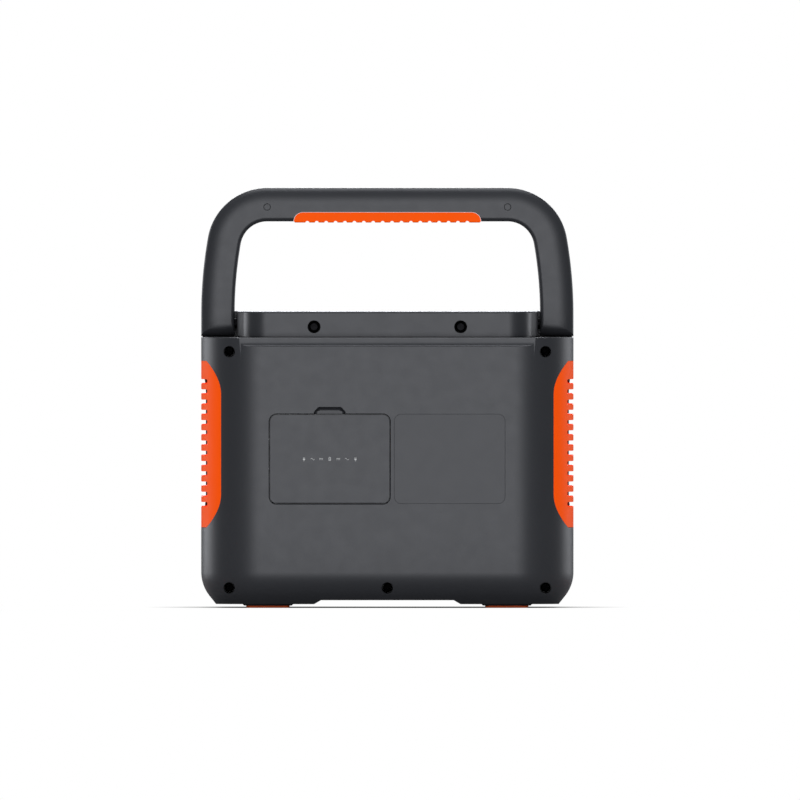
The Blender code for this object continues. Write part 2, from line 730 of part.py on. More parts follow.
for place, name in zip(SCREWS, ("low_middle", "low_left", "top_left", "low_right", "top_right")):
    screw("case_screw_" + name, place, SCREW_SEAT_Y, SCREW_SHANK[1])
for place, name in zip(deck_screws, ("left", "right")):
    screw("deck_screw_" + name, place, deck_seat_y, DECK_SCREW_SHANK)

# ---------------------------------------------------------------- side panels and fans

for hand, side in (("left", -1), ("right", 1)):
    panel = make(
        "side_panel_" + hand,
        side_block(side, 0),
        orange_plastic,
        (side * BODY_WIDTH / 2, 0, SLOT_CENTRE_Z),
    )
    boolean(panel, upright(0), "INTERSECT")
    boolean(panel, upright(PANEL_DEPTH), "DIFFERENCE")
    slots, vents = [], []
    for row in range(SLOT_COUNT):
        z = SLOT_CENTRE_Z + (row - (SLOT_COUNT - 1) / 2) * SLOT_PITCH
        low, high = sorted((side * (BODY_WIDTH / 2 - SLOT_DEPTH), side * 220 * MM))
        slots.append(block((low, -200 * MM, z - SLOT_HEIGHT / 2), (high, 200 * MM, z + SLOT_HEIGHT / 2)))
        if abs(row - SLOT_COUNT // 2) <= VENT_ROWS // 2:
            low, high = sorted((side * 160 * MM, side * (BODY_WIDTH / 2 - SLOT_DEPTH + MM)))
            half = VENT_HALF_LENGTH
            vents.append(block((low, -half, z - VENT_HEIGHT / 2), (high, half, z + VENT_HEIGHT / 2)))
    cut(panel, together(slots), together(vents))

    # The fan: x runs outwards from its inner face
    outer_x = BODY_WIDTH / 2 - SKIN_DEPTH - FIT
    inner_x = outer_x - 20 * MM

    def span(start, end):
        return sorted((side * (inner_x + start * MM), side * (inner_x + end * MM)))

    fan_centre = (0, SLOT_CENTRE_Z)
    low, high = span(0, 20)
    frame_mesh = prism(rounded_rectangle(fan_centre, (2 * FAN_HALF, 2 * FAN_HALF), 5 * MM), "X", low, high)
    fan_frame = make("fan_frame_" + hand, frame_mesh, black_plastic, (side * outer_x, 0, SLOT_CENTRE_Z))
    cut(fan_frame, rod(fan_centre, FAN_RADIUS + MM, "X", low - MM, high + MM, 32))
    low, high = span(0, 2.4)
    arms = [
        block((low, -3 * MM, SLOT_CENTRE_Z - 38.5 * MM), (high, 3 * MM, SLOT_CENTRE_Z + 38.5 * MM)),
        block((low, -38.5 * MM, SLOT_CENTRE_Z - 3 * MM), (high, 38.5 * MM, SLOT_CENTRE_Z + 3 * MM)),
        rod(fan_centre, 14 * MM, "X", low, high),
    ]
    join(fan_frame, *arms, rod(fan_centre, 2.8 * MM, "X", *span(1, 13), 16))
    rotor = make(
        "fan_rotor_" + hand,
        rod(fan_centre, 15 * MM, "X", *span(3.2, 17)),
        black_plastic,
        (side * (inner_x + 10 * MM), 0, SLOT_CENTRE_Z),
    )
    blades = []
    for index in range(7):
        turn = 2 * math.pi * index / 7
        low_ring, high_ring = [], []
        for depth, lean in ((4.5, -0.22), (5.7, -0.22), (16, 0.22), (14.8, 0.22)):
            for radius, ring in ((13.5 * MM, low_ring), (FAN_RADIUS - MM, high_ring)):
                angle = turn + lean * (1.3 if ring is low_ring else 1)
                x = side * (inner_x + depth * MM)
                ring.append((x, radius * math.cos(angle), SLOT_CENTRE_Z + radius * math.sin(angle)))
        blades.append(lofted([low_ring, high_ring]))
    join(rotor, together(blades))
    cut(rotor, rod(fan_centre, 2.9 * MM, "X", *span(1, 14), 16))

# ---------------------------------------------------------------- rear door, bay and ports

door_low = DOOR_CENTRE[1] - DOOR_SIZE[1] / 2 + DOOR_GAP
hinge_line = (rear_y + DOOR_HINGE, door_low + DOOR_HINGE)
hinge_point = (DOOR_CENTRE[0], *hinge_line)
port_door = make(
    "port_door",
    wall_frame(DOOR_CENTRE, DOOR_SIZE, DOOR_CORNER, -DOOR_GAP, rear_y, rear_y + DOOR_THICK),
    body_plastic,
    hinge_point,
)
rounded_edge = arc(hinge_line, (DOOR_HINGE, DOOR_HINGE), 180, 270, 4)
rounded_edge += [(hinge_line[0], door_low - MM), (rear_y - MM, door_low - MM), (rear_y - MM, hinge_line[1])]
cut(port_door, prism(rounded_edge, "X", -150 * MM, 50 * MM))
opening_low = DOOR_CENTRE[0] - DOOR_SIZE[0] / 2
opening_high = DOOR_CENTRE[0] + DOOR_SIZE[0] / 2
relief_radius, relief_inset = DOOR_RELIEF
cut(port_door, rod(hinge_line, DOOR_PIN + 0.1 * MM, "X", -150 * MM, 50 * MM, SMALL_CIRCLE))
cut(
    rear_shell,
    rod(
        hinge_line,
        relief_radius,
        "X",
        opening_low + relief_inset,
        opening_high - relief_inset,
        SMALL_CIRCLE,
    ),
    rod(
        hinge_line,
        DOOR_PIN + 0.05 * MM,
        "X",
        opening_low - 1.4 * MM,
        opening_high + 1.4 * MM,
        SMALL_CIRCLE,
    ),
)
pin = rod(hinge_line, DOOR_PIN, "X", opening_low - 1.2 * MM, opening_high + 1.2 * MM, SMALL_CIRCLE)
make("port_door_pin", pin, steel, hinge_point)

bay_rim_y = rear_y + DOOR_THICK + 0.4 * MM
bay_back_y = rear_y + BAY_DEPTH
port_bay = make(
    "port_bay",
    wall_frame(DOOR_CENTRE, DOOR_SIZE, DOOR_CORNER, -FIT, bay_rim_y, collar_y + 2 * MM),
    black_plastic,
    (DOOR_CENTRE[0], bay_rim_y, DOOR_CENTRE[1]),
)
join(port_bay, wall_frame(DOOR_CENTRE, DOOR_SIZE, DOOR_CORNER, BAY_WALL - BAY_LEDGE, collar_y, bay_back_y))
cut(port_bay, wall_frame(DOOR_CENTRE, DOOR_SIZE, DOOR_CORNER, -BAY_LEDGE, -150 * MM, bay_back_y - BAY_WALL))


def panel_socket(name, centre, outline, flange, panel_y, side, proud, behind, made_of):
    """A socket pushed through a hole in a panel, with a flange that stands on the panel's near face.
    side is -1 where the user is on the -Y side."""
    user_y = panel_y + side * proud
    inner = panel_y - side * behind
    body_mesh = prism(outline(0), "Y", min(user_y, inner), max(user_y, inner))
    piece = make(name, body_mesh, made_of, (centre[0], panel_y, centre[1]))
    near_face = panel_y + side * 0.05 * MM
    join(
        piece,
        prism(
            outline(flange),
            "Y",
            min(near_face, user_y - side * 0.2 * MM),
            max(near_face, user_y - side * 0.2 * MM),
        ),
    )
    return piece


def socket_shape(centre, size, corner):
    def outline(margin):
        grown = (size[0] + 2 * margin, size[1] + 2 * margin)
        return rounded_rectangle(centre, grown, min(corner + margin, min(grown) / 2 - 0.01 * MM))

    return outline


port_face = bay_back_y - BAY_WALL
AC_INLET = ((-86 * MM, 152 * MM), (28 * MM, 20 * MM), 3 * MM)
EXPANSION = ((-55.1 * MM, 121 * MM), (62 * MM, 17 * MM), 4 * MM)
DC_INPUTS = [((x * MM, 152 * MM), (17 * MM, 17 * MM), 8.4 * MM) for x in (-46, -21)]
for shape in [AC_INLET, EXPANSION] + DC_INPUTS:
    grown = socket_shape(*shape)(FIT)
    cut(port_bay, prism(grown, "Y", port_face - MM, bay_back_y + MM))

ac_inlet = panel_socket(
    "ac_inlet",
    AC_INLET[0],
    socket_shape(*AC_INLET),
    3 * MM,
    port_face,
    -1,
    2.5 * MM,
    15 * MM,
    black_plastic,
)
cut(
    ac_inlet,
    wall_frame(AC_INLET[0], (24 * MM, 16.4 * MM), 2 * MM, 0, -120 * MM, port_face + 12 * MM),
)
join(
    ac_inlet,
    *[
        block(
            (AC_INLET[0][0] + x * MM - MM, port_face + 3 * MM, AC_INLET[0][1] + z * MM - 2 * MM),
            (AC_INLET[0][0] + x * MM + MM, port_face + 13 * MM, AC_INLET[0][1] + z * MM + 2 * MM),
        )
        for x, z in ((-7, -1.6), (7, -1.6), (0, 2.4))
    ],
)
for number, shape in enumerate(DC_INPUTS, 1):
    dc_input = panel_socket(
        "dc_input_socket_%d" % number,
        shape[0],
        socket_shape(*shape),
        2 * MM,
        port_face,
        -1,
        2 * MM,
        13 * MM,
        black_plastic,
    )
    cut(dc_input, rod(shape[0], 4.1 * MM, "Y", -120 * MM, port_face + 10 * MM))
    join(dc_input, rod(shape[0], 0.6 * MM, "Y", port_face + MM, port_face + 11 * MM, 10))
expansion = panel_socket(
    "expansion_connector",
    EXPANSION[0],
    socket_shape(*EXPANSION),
    3 * MM,
    port_face,
    -1,
    3 * MM,
    14 * MM,
    black_plastic,
)
cut(expansion, wall_frame(EXPANSION[0], (56 * MM, 11 * MM), 3 * MM, 0, -120 * MM, port_face + 9 * MM))
join(
    expansion,
    *[
        rod(
            (EXPANSION[0][0] + x * MM, EXPANSION[0][1]),
            2.2 * MM,
            "Y",
            port_face + 0.5 * MM,
            port_face + 10 * MM,
            12,
        )
        for x in (-20, -10, 10, 20)
    ],
)

make(
    "label_plate",
    wall_frame(
        LABEL_CENTRE,
        LABEL_SIZE,
        DOOR_CORNER,
        -0.2 * MM,
        rear_y + 0.15 * MM,
        rear_y + 0.15 * MM + LABEL_THICK,
    ),
    label_film,
    (LABEL_CENTRE[0], rear_y, LABEL_CENTRE[1]),
)

# ---------------------------------------------------------------- front panel

fascia_face = fascia_back + FASCIA_THICK
front_fascia = make(
    "front_fascia",
    wall_frame(fascia_centre, FASCIA_SIZE, FASCIA_CORNER, 0, fascia_back, fascia_face),
    black_plastic,
    (0, fascia_back, FASCIA_CENTRE_Z),
)


def fascia_hole(mesh):
    cut(front_fascia, mesh)


DISPLAY = ((0, 206 * MM), (96 * MM, 34 * MM), 4 * MM)
LIGHT = ((-86 * MM, 206 * MM), (40 * MM, 18 * MM), 6 * MM)
OUTLETS = [((x * MM, 142 * MM), (34 * MM, 38 * MM), 6 * MM) for x in (-21, -60, -99)]
USB = ((62 * MM, 160 * MM), (70 * MM, 24 * MM), 5 * MM)
CAR = ((46 * MM, 104 * MM), 19 * MM)
BUTTONS = {
    "power_button": ((82 * MM, 206 * MM), 9 * MM),
    "light_button": ((-116.5 * MM, 206 * MM), 4.5 * MM),
    "dc_button": ((96 * MM, 104 * MM), 7 * MM),
    "ac_button": ((-60 * MM, 100 * MM), 7 * MM),
}

for shape in [DISPLAY, LIGHT, USB] + OUTLETS:
    fascia_hole(prism(socket_shape(*shape)(FIT), "Y", 100 * MM, 150 * MM))
fascia_hole(rod(CAR[0], CAR[1] + FIT, "Y", 100 * MM, 150 * MM, 32))
for name, (centre, radius) in BUTTONS.items():
    fascia_hole(rod(centre, radius + FIT, "Y", 100 * MM, 150 * MM))
    low = fascia_back - 4 * MM
    profile = [
        (low, radius + 1.2 * MM),
        (low + 1.2 * MM, radius + 1.2 * MM),
        (low + 1.2 * MM, radius),
        (front_y - 0.6 * MM, radius),
        (front_y, radius - 0.8 * MM),
    ]
    make(name, turned(centre, "Y", profile), black_plastic, (centre[0], fascia_face, centre[1]))

lens = prism(socket_shape(*DISPLAY)(0), "Y", fascia_back + 0.2 * MM, fascia_face + 0.3 * MM)
make("display_lens", lens, display_glass, (0, fascia_face, DISPLAY[0][1]))
module = prism(
    socket_shape(DISPLAY[0], (112 * MM, 46 * MM), 3 * MM)(0),
    "Y",
    fascia_back - 8 * MM,
    fascia_back - 0.2 * MM,
)
make("display_module", module, circuit_board, (0, fascia_back, DISPLAY[0][1]))
lamp = prism(socket_shape(*LIGHT)(0), "Y", fascia_back - 6 * MM, fascia_face + 0.8 * MM)
soften(lamp, 0.6 * MM, lambda point: near(point.y, fascia_face + 0.8 * MM))
make("light_lens", lamp, light_diffuser, (LIGHT[0][0], fascia_face, LIGHT[0][1]))

for number, shape in enumerate(OUTLETS, 1):
    centre = shape[0]
    outlet_mesh = prism(socket_shape(*shape)(0), "Y", fascia_back - 24 * MM, fascia_face + 0.5 * MM)
    outlet = make("ac_outlet_%d" % number, outlet_mesh, black_plastic, (centre[0], fascia_face, centre[1]))
    blades = [
        block(
            (centre[0] + x * MM - MM, fascia_face - 17 * MM, centre[1] + 4 * MM - tall * MM / 2),
            (centre[0] + x * MM + MM, 150 * MM, centre[1] + 4 * MM + tall * MM / 2),
        )
        for x, tall in ((-6.4, 7.0), (6.4, 8.6))
    ]
    earth = rod((centre[0], centre[1] - 8 * MM), 2.4 * MM, "Y", fascia_face - 17 * MM, 150 * MM, 12)
    cut(outlet, together(blades + [earth]))

usb = make(
    "usb_module",
    prism(socket_shape(*USB)(0), "Y", fascia_back - 20 * MM, fascia_face + 0.5 * MM),
    black_plastic,
    (USB[0][0], fascia_face, USB[0][1]),
)
ports = []
for x, width, height, deep in ((-24, 13, 5.4, 14), (-7, 13, 5.4, 14), (9, 9.2, 3.4, 8), (24, 9.2, 3.4, 8)):
    centre = (USB[0][0] + x * MM, USB[0][1])
    port = rounded_rectangle(centre, (width * MM, height * MM), (0.5 if height > 4 else 1.6) * MM)
    ports.append(prism(port, "Y", fascia_face - deep * MM, 150 * MM))
cut(usb, together(ports))

# The vehicle socket, with a cap on a small hinge above it
car_centre = CAR[0]
car_face = fascia_back + 0.8 * MM
cap_axis = (front_y - 1.6 * MM, car_centre[1] + 16.2 * MM)
car_profile = [
    (88 * MM, 13.5 * MM),
    (fascia_back - 0.3 * MM, 13.5 * MM),
    (fascia_back - 0.3 * MM, CAR[1]),
    (car_face, CAR[1]),
]
car_socket = make(
    "car_socket",
    turned(car_centre, "Y", car_profile, 32),
    black_plastic,
    (car_centre[0], fascia_back, car_centre[1]),
)
ears = [
    block(
        (car_centre[0] + x * MM - 1.4 * MM, car_face - MM, cap_axis[1] - 1.4 * MM),
        (car_centre[0] + x * MM + 1.4 * MM, cap_axis[0] + 1.3 * MM, cap_axis[1] + 1.4 * MM),
    )
    for x in (-6, 6)
]
join(car_socket, *ears, rod(cap_axis, 0.7 * MM, "X", car_centre[0] - 6 * MM, car_centre[0] + 6 * MM, 12))
cut(car_socket, rod(car_centre, 10.6 * MM, "Y", 91 * MM, 150 * MM, 32))
cap_low, cap_high = front_y - 2.7 * MM, front_y - 0.3 * MM
cap = make(
    "car_socket_cap",
    rod(car_centre, 13.2 * MM, "Y", cap_low, cap_high, 32),
    black_plastic,
    (car_centre[0], *cap_axis),
)
join(
    cap,
    block(
        (car_centre[0] - 4.3 * MM, cap_low + 0.1 * MM, car_centre[1] + 8 * MM),
        (car_centre[0] + 4.3 * MM, cap_high - 0.1 * MM, cap_axis[1]),
    ),
    rod(cap_axis, 1.3 * MM, "X", car_centre[0] - 4.3 * MM, car_centre[0] + 4.3 * MM, 12),
)
cut(cap, rod(cap_axis, 0.8 * MM, "X", car_centre[0] - REACH, car_centre[0] + REACH, 12))

# ---------------------------------------------------------------- inside

battery_top = 125 * MM
pack_mesh = block((-124 * MM, -76 * MM, 29 * MM), (124 * MM, 76 * MM, battery_top))
soften(pack_mesh, 4 * MM, lambda point: True, 2)
make("battery_pack", pack_mesh, battery_wrap, (0, 0, 29 * MM))
make(
    "battery_board",
    block((-90 * MM, -35 * MM, battery_top + FIT), (90 * MM, 35 * MM, battery_top + 2 * MM)),
    circuit_board,
    (0, 0, battery_top),
)

plate_top = 134 * MM
leg = 128.6 * MM
bridge = [
    (leg, FLOOR_Z + FIT), (leg, plate_top), (-leg, plate_top), (-leg, FLOOR_Z + FIT),
    (2 * MM - leg, FLOOR_Z + FIT), (
        2 * MM - leg,
        plate_top - 2 * MM,
    ), (leg - 2 * MM, plate_top - 2 * MM), (leg - 2 * MM, FLOOR_Z + FIT),
]
chassis = make("chassis_plate", prism(bridge, "Y", -70 * MM, 70 * MM), aluminium, (0, 0, plate_top))
board_low = 141 * MM
join(
    chassis,
    *[
        rod((x * MM, y * MM), 3 * MM, "Z", plate_top - MM, board_low - 0.1 * MM, 12)
        for x in (-100, 100) for y in (-60, 60)
    ],
)
make(
    "inverter_board",
    block((-108 * MM, -68 * MM, board_low), (108 * MM, 68 * MM, board_low + 2 * MM)),
    circuit_board,
    (0, 0, board_low),
)
above = board_low + 2 * MM + FIT
for hand, side in (("left", -1), ("right", 1)):
    x = side * 84 * MM
    sink = make(
        "heat_sink_" + hand,
        block((x - 17 * MM, -60 * MM, above), (x + 17 * MM, 60 * MM, above + 60 * MM)),
        aluminium,
        (x, 0, above),
    )
    fins = [
        block(
            (x + offset * MM - 2 * MM, -70 * MM, above + 5 * MM),
            (x + offset * MM + 2 * MM, 70 * MM, above + 70 * MM),
        )
        for offset in (-12, -6, 0, 6, 12)
    ]
    cut(sink, together(fins))
    make(
        "capacitor_" + hand,
        turned(
            (side * 45 * MM, 40 * MM),
            "Z",
            [(above, 12 * MM), (above + 38 * MM, 12 * MM), (above + 40 * MM, 10.5 * MM)],
        ),
        black_plastic,
        (side * 45 * MM, 40 * MM, above),
    )
coil = block((-26 * MM, -35 * MM, above), (26 * MM, 10 * MM, above + 40 * MM))
soften(coil, 3 * MM, lambda point: True, 1)
make("transformer", coil, wound_copper, (0, -12 * MM, above))
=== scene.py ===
# %% [markdown]
# # A portable power station, seen from behind
#
# A power station is a large battery, an inverter and two fans in a plastic case, with a carrying handle
# that folds back round the top deck. The working model is already packed: it says where every piece is and
# how it moves. This lesson gives each piece its finished shape and surface. Nothing is moved or resized:
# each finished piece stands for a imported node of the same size, and rides on the same body.
#
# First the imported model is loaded, and its overall box is kept to compare with at the end.

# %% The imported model
import json
import math

import bmesh
import bpy
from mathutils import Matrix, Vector

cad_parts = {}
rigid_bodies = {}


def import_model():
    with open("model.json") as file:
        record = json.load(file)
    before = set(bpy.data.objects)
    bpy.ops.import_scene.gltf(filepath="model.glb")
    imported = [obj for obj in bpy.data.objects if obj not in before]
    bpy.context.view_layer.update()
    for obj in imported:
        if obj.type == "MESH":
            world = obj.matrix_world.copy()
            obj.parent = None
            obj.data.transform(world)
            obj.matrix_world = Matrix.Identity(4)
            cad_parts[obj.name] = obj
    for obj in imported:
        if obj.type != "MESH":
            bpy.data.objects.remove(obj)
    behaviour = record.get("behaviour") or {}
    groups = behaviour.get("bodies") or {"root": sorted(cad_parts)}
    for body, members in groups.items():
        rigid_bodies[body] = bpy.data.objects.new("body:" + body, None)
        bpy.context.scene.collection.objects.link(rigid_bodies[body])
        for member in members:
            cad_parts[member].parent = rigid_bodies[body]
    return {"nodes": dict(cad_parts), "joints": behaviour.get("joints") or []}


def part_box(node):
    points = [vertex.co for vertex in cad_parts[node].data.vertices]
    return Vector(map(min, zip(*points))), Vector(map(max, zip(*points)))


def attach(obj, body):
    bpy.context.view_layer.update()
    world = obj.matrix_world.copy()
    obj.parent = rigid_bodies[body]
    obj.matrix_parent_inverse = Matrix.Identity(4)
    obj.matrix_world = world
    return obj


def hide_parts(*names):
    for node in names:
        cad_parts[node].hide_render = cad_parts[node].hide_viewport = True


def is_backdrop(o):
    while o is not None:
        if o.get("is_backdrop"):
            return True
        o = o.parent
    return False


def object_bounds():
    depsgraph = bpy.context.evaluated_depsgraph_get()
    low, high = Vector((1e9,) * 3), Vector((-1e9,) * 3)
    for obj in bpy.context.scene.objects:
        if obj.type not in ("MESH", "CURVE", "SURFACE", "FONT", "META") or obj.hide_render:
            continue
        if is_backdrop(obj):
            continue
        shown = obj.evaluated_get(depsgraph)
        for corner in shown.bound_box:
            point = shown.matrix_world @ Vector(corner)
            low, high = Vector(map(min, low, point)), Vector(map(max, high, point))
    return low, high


for left_over in list(bpy.data.objects):
    bpy.data.objects.remove(left_over)
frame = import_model()
packed_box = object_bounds()
MM = 0.001
print("packed box:", [[round(value / MM, 1) for value in corner] for corner in packed_box])


def box_of(node):
    """A node's lowest and highest corners, as vectors in metres."""
    low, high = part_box(node)
    return Vector(low), Vector(high)


def middle_of(node):
    low, high = box_of(node)
    return (low + high) / 2


# %% [markdown]
# ## Camera
#
# The case is drawn without perspective, level with its middle, so the camera is orthographic. The door side
# faces -Y, and the camera stands on that side. It is raised by a quarter of a degree only, so that the
# floor is not quite edge on, and the shade under the case shows as a thin line.

# %% Camera
VIEW_WIDTH = 765 * MM
VIEW_CENTRE = Vector((12.1 * MM, 0, 198.2 * MM))
CAMERA_DISTANCE = 6.0
CAMERA_RISE = math.radians(0.27)

camera_data = bpy.data.cameras.new("camera")
camera_data.type = "ORTHO"
camera_data.ortho_scale = VIEW_WIDTH
camera_data.clip_end = 40
camera = bpy.data.objects.new("camera", camera_data)
camera.location = VIEW_CENTRE + CAMERA_DISTANCE * Vector((0, -math.cos(CAMERA_RISE), math.sin(CAMERA_RISE)))
camera.rotation_euler = (math.radians(90) - CAMERA_RISE, 0, 0)
bpy.context.scene.collection.objects.link(camera)
bpy.context.scene.camera = camera
print("view: %.0f mm wide" % (VIEW_WIDTH / MM))

# %% [markdown]
# ## Studio light
#
# Dark plastic with a fine texture is judged by how it darkens as it turns away. So the light in front is a
# soft box of limited width: the flat rear face mirrors it, and the round corners turn away from it into
# the dark part of the room. Further round, beyond the sides of the case, the room is bright again, and that
# is the pale edge along the outline. The same arrangement stands on the far side, for the outlets.
#
# The room itself is the world, uniform and dim. The lamps to the left and right are what brighten it
# beyond the sides of the case, and only the camera sees it as white.


# %% Lamps and world
def area_lamp(name, place, aim, width, height, watts):
    lamp_data = bpy.data.lights.new(name, "AREA")
    lamp_data.shape = "RECTANGLE"
    lamp_data.size = width
    lamp_data.size_y = height
    lamp_data.energy = watts
    lamp = bpy.data.objects.new(name, lamp_data)
    lamp.location = place
    direction = Vector(aim) - Vector(place)
    lamp.rotation_euler = direction.to_track_quat("-Z", "Y").to_euler()
    lamp.visible_camera = False
    lamp_data.color = (0.965, 0.98, 1.03)
    bpy.context.scene.collection.objects.link(lamp)
    return lamp


area_lamp("rear_soft_box", (0.0, -4.0, 0.5), (0, 0, 0.2), 2.5, 2.0, 74)
area_lamp("front_soft_box", (0.3, 4.0, 1.6), (0, 0, 0.2), 2.6, 2.0, 90)
area_lamp("overhead", (0, 0.1, 3.0), (0, 0, 0.2), 2.0, 2.0, 40)
area_lamp("left_wall", (-3.4, 2.2, 0.4), (0, 0, 0.2), 2.4, 2.4, 50)
area_lamp("right_wall", (3.4, 2.4, 0.4), (0, 0, 0.2), 2.4, 2.4, 36)

world = bpy.data.worlds.new("studio")
world.use_nodes = True
bpy.context.scene.world = world
tree = world.node_tree
tree.nodes.clear()
output = tree.nodes.new("ShaderNodeOutputWorld")
mix = tree.nodes.new("ShaderNodeMixShader")
rays = tree.nodes.new("ShaderNodeLightPath")
seen = tree.nodes.new("ShaderNodeBackground")
lighting = tree.nodes.new("ShaderNodeBackground")
seen.inputs["Color"].default_value = (1, 1, 1, 1)
lighting.inputs["Color"].default_value = (0.9, 0.95, 1.0, 1)
lighting.inputs["Strength"].default_value = 0.22
tree.links.new(rays.outputs["Is Camera Ray"], mix.inputs["Fac"])
tree.links.new(lighting.outputs["Background"], mix.inputs[1])
tree.links.new(seen.outputs["Background"], mix.inputs[2])
tree.links.new(mix.outputs["Shader"], output.inputs["Surface"])
bpy.context.scene.view_settings.view_transform = "Standard"

# %% [markdown]
# ## Floor
#
# The floor is as white as the room, so it can't be seen, except where the case hides the light from it. That
# shade
# is painted: for the camera only, the surface glows white, darkened by ambient occlusion into a painted
# contact shadow, and it fades away some way out. To everything else it is a plain grey floor.

# %% Floor
ground = bmesh.new()
bmesh.ops.create_grid(ground, x_segments=1, y_segments=1, size=0.9)
ground_data = bpy.data.meshes.new("floor")
ground.to_mesh(ground_data)
ground.free()
floor = bpy.data.objects.new("floor", ground_data)
bpy.context.scene.collection.objects.link(floor)
floor_paint = bpy.data.materials.new("white_floor")
floor_paint.use_nodes = True
nodes, links = floor_paint.node_tree.nodes, floor_paint.node_tree.links
plain = nodes["Principled BSDF"]
plain.inputs["Base Color"].default_value = (0.35, 0.35, 0.35, 1)
plain.inputs["Roughness"].default_value = 0.9
# Painted contact shadow: ambient occlusion darkens the floor's white glow near the case.
painted_contact_shadow = nodes.new("ShaderNodeAmbientOcclusion")
painted_contact_shadow.samples = 12
painted_contact_shadow.inputs["Distance"].default_value = 0.06
shade = nodes.new("ShaderNodeEmission")
links.new(painted_contact_shadow.outputs["Color"], shade.inputs["Color"])
kind = nodes.new("ShaderNodeMixShader")
links.new(nodes.new("ShaderNodeLightPath").outputs["Is Camera Ray"], kind.inputs["Fac"])
links.new(plain.outputs["BSDF"], kind.inputs[1])
links.new(shade.outputs["Emission"], kind.inputs[2])
reach = nodes.new("ShaderNodeVectorMath")
reach.operation = "LENGTH"
links.new(nodes.new("ShaderNodeTexCoord").outputs["Object"], reach.inputs[0])
fade = nodes.new("ShaderNodeMapRange")
fade.inputs["From Min"].default_value = 0.3
fade.inputs["From Max"].default_value = 0.8
links.new(reach.outputs["Value"], fade.inputs["Value"])
edge = nodes.new("ShaderNodeMixShader")
links.new(fade.outputs["Result"], edge.inputs["Fac"])
links.new(kind.outputs["Shader"], edge.inputs[1])
links.new(nodes.new("ShaderNodeBsdfTransparent").outputs["BSDF"], edge.inputs[2])
links.new(edge.outputs["Shader"], nodes["Material Output"].inputs["Surface"])
floor.data.materials.append(floor_paint)
floor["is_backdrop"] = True
print("floor:", floor.name)

# %% [markdown]
# ## Moulded plastic
#
# The case is moulded in a grey plastic with a spark-eroded texture: very fine, even bumps that blur the
# highlights. A bump made of small noise, under half a millimetre across, gives that. A second, larger
# noise changes the gloss a little from place to place, as handling does. The same recipe with another
# colour serves the orange panels and the black fittings, so it is one function.


# %% The moulded plastic recipe
def noise(nodes, links, place, scale, detail=2.0):
    texture = nodes.new("ShaderNodeTexNoise")
    texture.inputs["Scale"].default_value = scale
    texture.inputs["Detail"].default_value = detail
    links.new(place, texture.inputs["Vector"])
    return texture.outputs["Fac"]


def spread(nodes, links, value, low, high):
    """Maps the middle of a noise onto a range."""
    ramp = nodes.new("ShaderNodeMapRange")
    ramp.inputs["From Min"].default_value = 0.3
    ramp.inputs["From Max"].default_value = 0.7
    ramp.inputs["To Min"].default_value = low
    ramp.inputs["To Max"].default_value = high
    links.new(value, ramp.inputs["Value"])
    return ramp.outputs["Result"]


def moulded(name, colour, rough, grain=0.45, depth=0.05, mottle=0.06, specular=0.5):
    """A plastic with a fine moulded grain. grain is in millimetres, and rough is (low, high)."""
    made = bpy.data.materials.new(name)
    made.use_nodes = True
    nodes, links = made.node_tree.nodes, made.node_tree.links
    shader = nodes["Principled BSDF"]
    place = nodes.new("ShaderNodeTexCoord").outputs["Object"]
    tone = nodes.new("ShaderNodeMix")
    tone.data_type = "RGBA"
    darker = [channel * (1 - mottle) for channel in colour]
    lighter = [channel * (1 + mottle) for channel in colour]
    tone.inputs["A"].default_value = (*darker, 1)
    tone.inputs["B"].default_value = (*lighter, 1)
    links.new(spread(nodes, links, noise(nodes, links, place, 35.0, 3.0), 0, 1), tone.inputs["Factor"])
    links.new(tone.outputs["Result"], shader.inputs["Base Color"])
    links.new(
        spread(nodes, links, noise(nodes, links, place, 90.0, 3.0), *rough),
        shader.inputs["Roughness"],
    )
    shader.inputs["Specular IOR Level"].default_value = specular
    bump = nodes.new("ShaderNodeBump")
    bump.inputs["Strength"].default_value = 0.35
    bump.inputs["Distance"].default_value = depth * MM
    links.new(noise(nodes, links, place, 1 / (grain * MM), 1.0), bump.inputs["Height"])
    links.new(bump.outputs["Normal"], shader.inputs["Normal"])
    return made


def painted_orange_glow(material):
    """Painted glow: an orange emission that lightens the orange plastic in shade, where the lamps leave it
    dull.
    """
    shader = material.node_tree.nodes["Principled BSDF"]
    shader.inputs["Emission Color"].default_value = (1.0, 0.09, 0.001, 1)
    shader.inputs["Emission Strength"].default_value = 0.3


case_grey = moulded("case_grey", (0.034, 0.035, 0.039), (0.385, 0.415), mottle=0.015, specular=0.4)
panel_orange = moulded("panel_orange", (1.0, 0.092, 0.002), (0.42, 0.5), mottle=0.015, specular=0.04)
fitting_black = moulded("fitting_black", (0.017, 0.017, 0.018), (0.35, 0.45), mottle=0.04)
# The orange side panels get a painted glow that lightens them in shade.
painted_orange_glow(panel_orange)
print("plastics:", [m.name for m in (case_grey, panel_orange, fitting_black)])

# %% [markdown]
# ## Outlines and lofts
#
# Almost every piece here is an outline carried along a line: the case is its plan, drawn in little by
# little towards the bottom; the handle is its band, drawn in towards each face. So the helpers are a few
# outlines, and a loft that skins a stack of them. The curves are cut finely, two degrees or so to a step,
# so that the big corners shade smoothly.


# %% Outlines
def arc(centre, radii, start, end, steps):
    """Points along part of an ellipse, from one angle in degrees to another, both included."""
    points = []
    for step in range(steps + 1):
        angle = math.radians(start + (end - start) * step / steps)
        points.append((centre[0] + radii[0] * math.cos(angle), centre[1] + radii[1] * math.sin(angle)))
    return points


def circle(centre, radius, sides=48):
    return arc(centre, (radius, radius), 0, 360 - 360 / sides, sides - 1)


def rounded_rectangle(centre, size, radius, steps=12):
    points = []
    for quarter, (side_x, side_y) in enumerate(((1, 1), (-1, 1), (-1, -1), (1, -1))):
        corner_x = centre[0] + side_x * (size[0] / 2 - radius)
        corner_y = centre[1] + side_y * (size[1] / 2 - radius)
        points += arc((corner_x, corner_y), (radius, radius), 90 * quarter, 90 * (quarter + 1), steps)
    return points


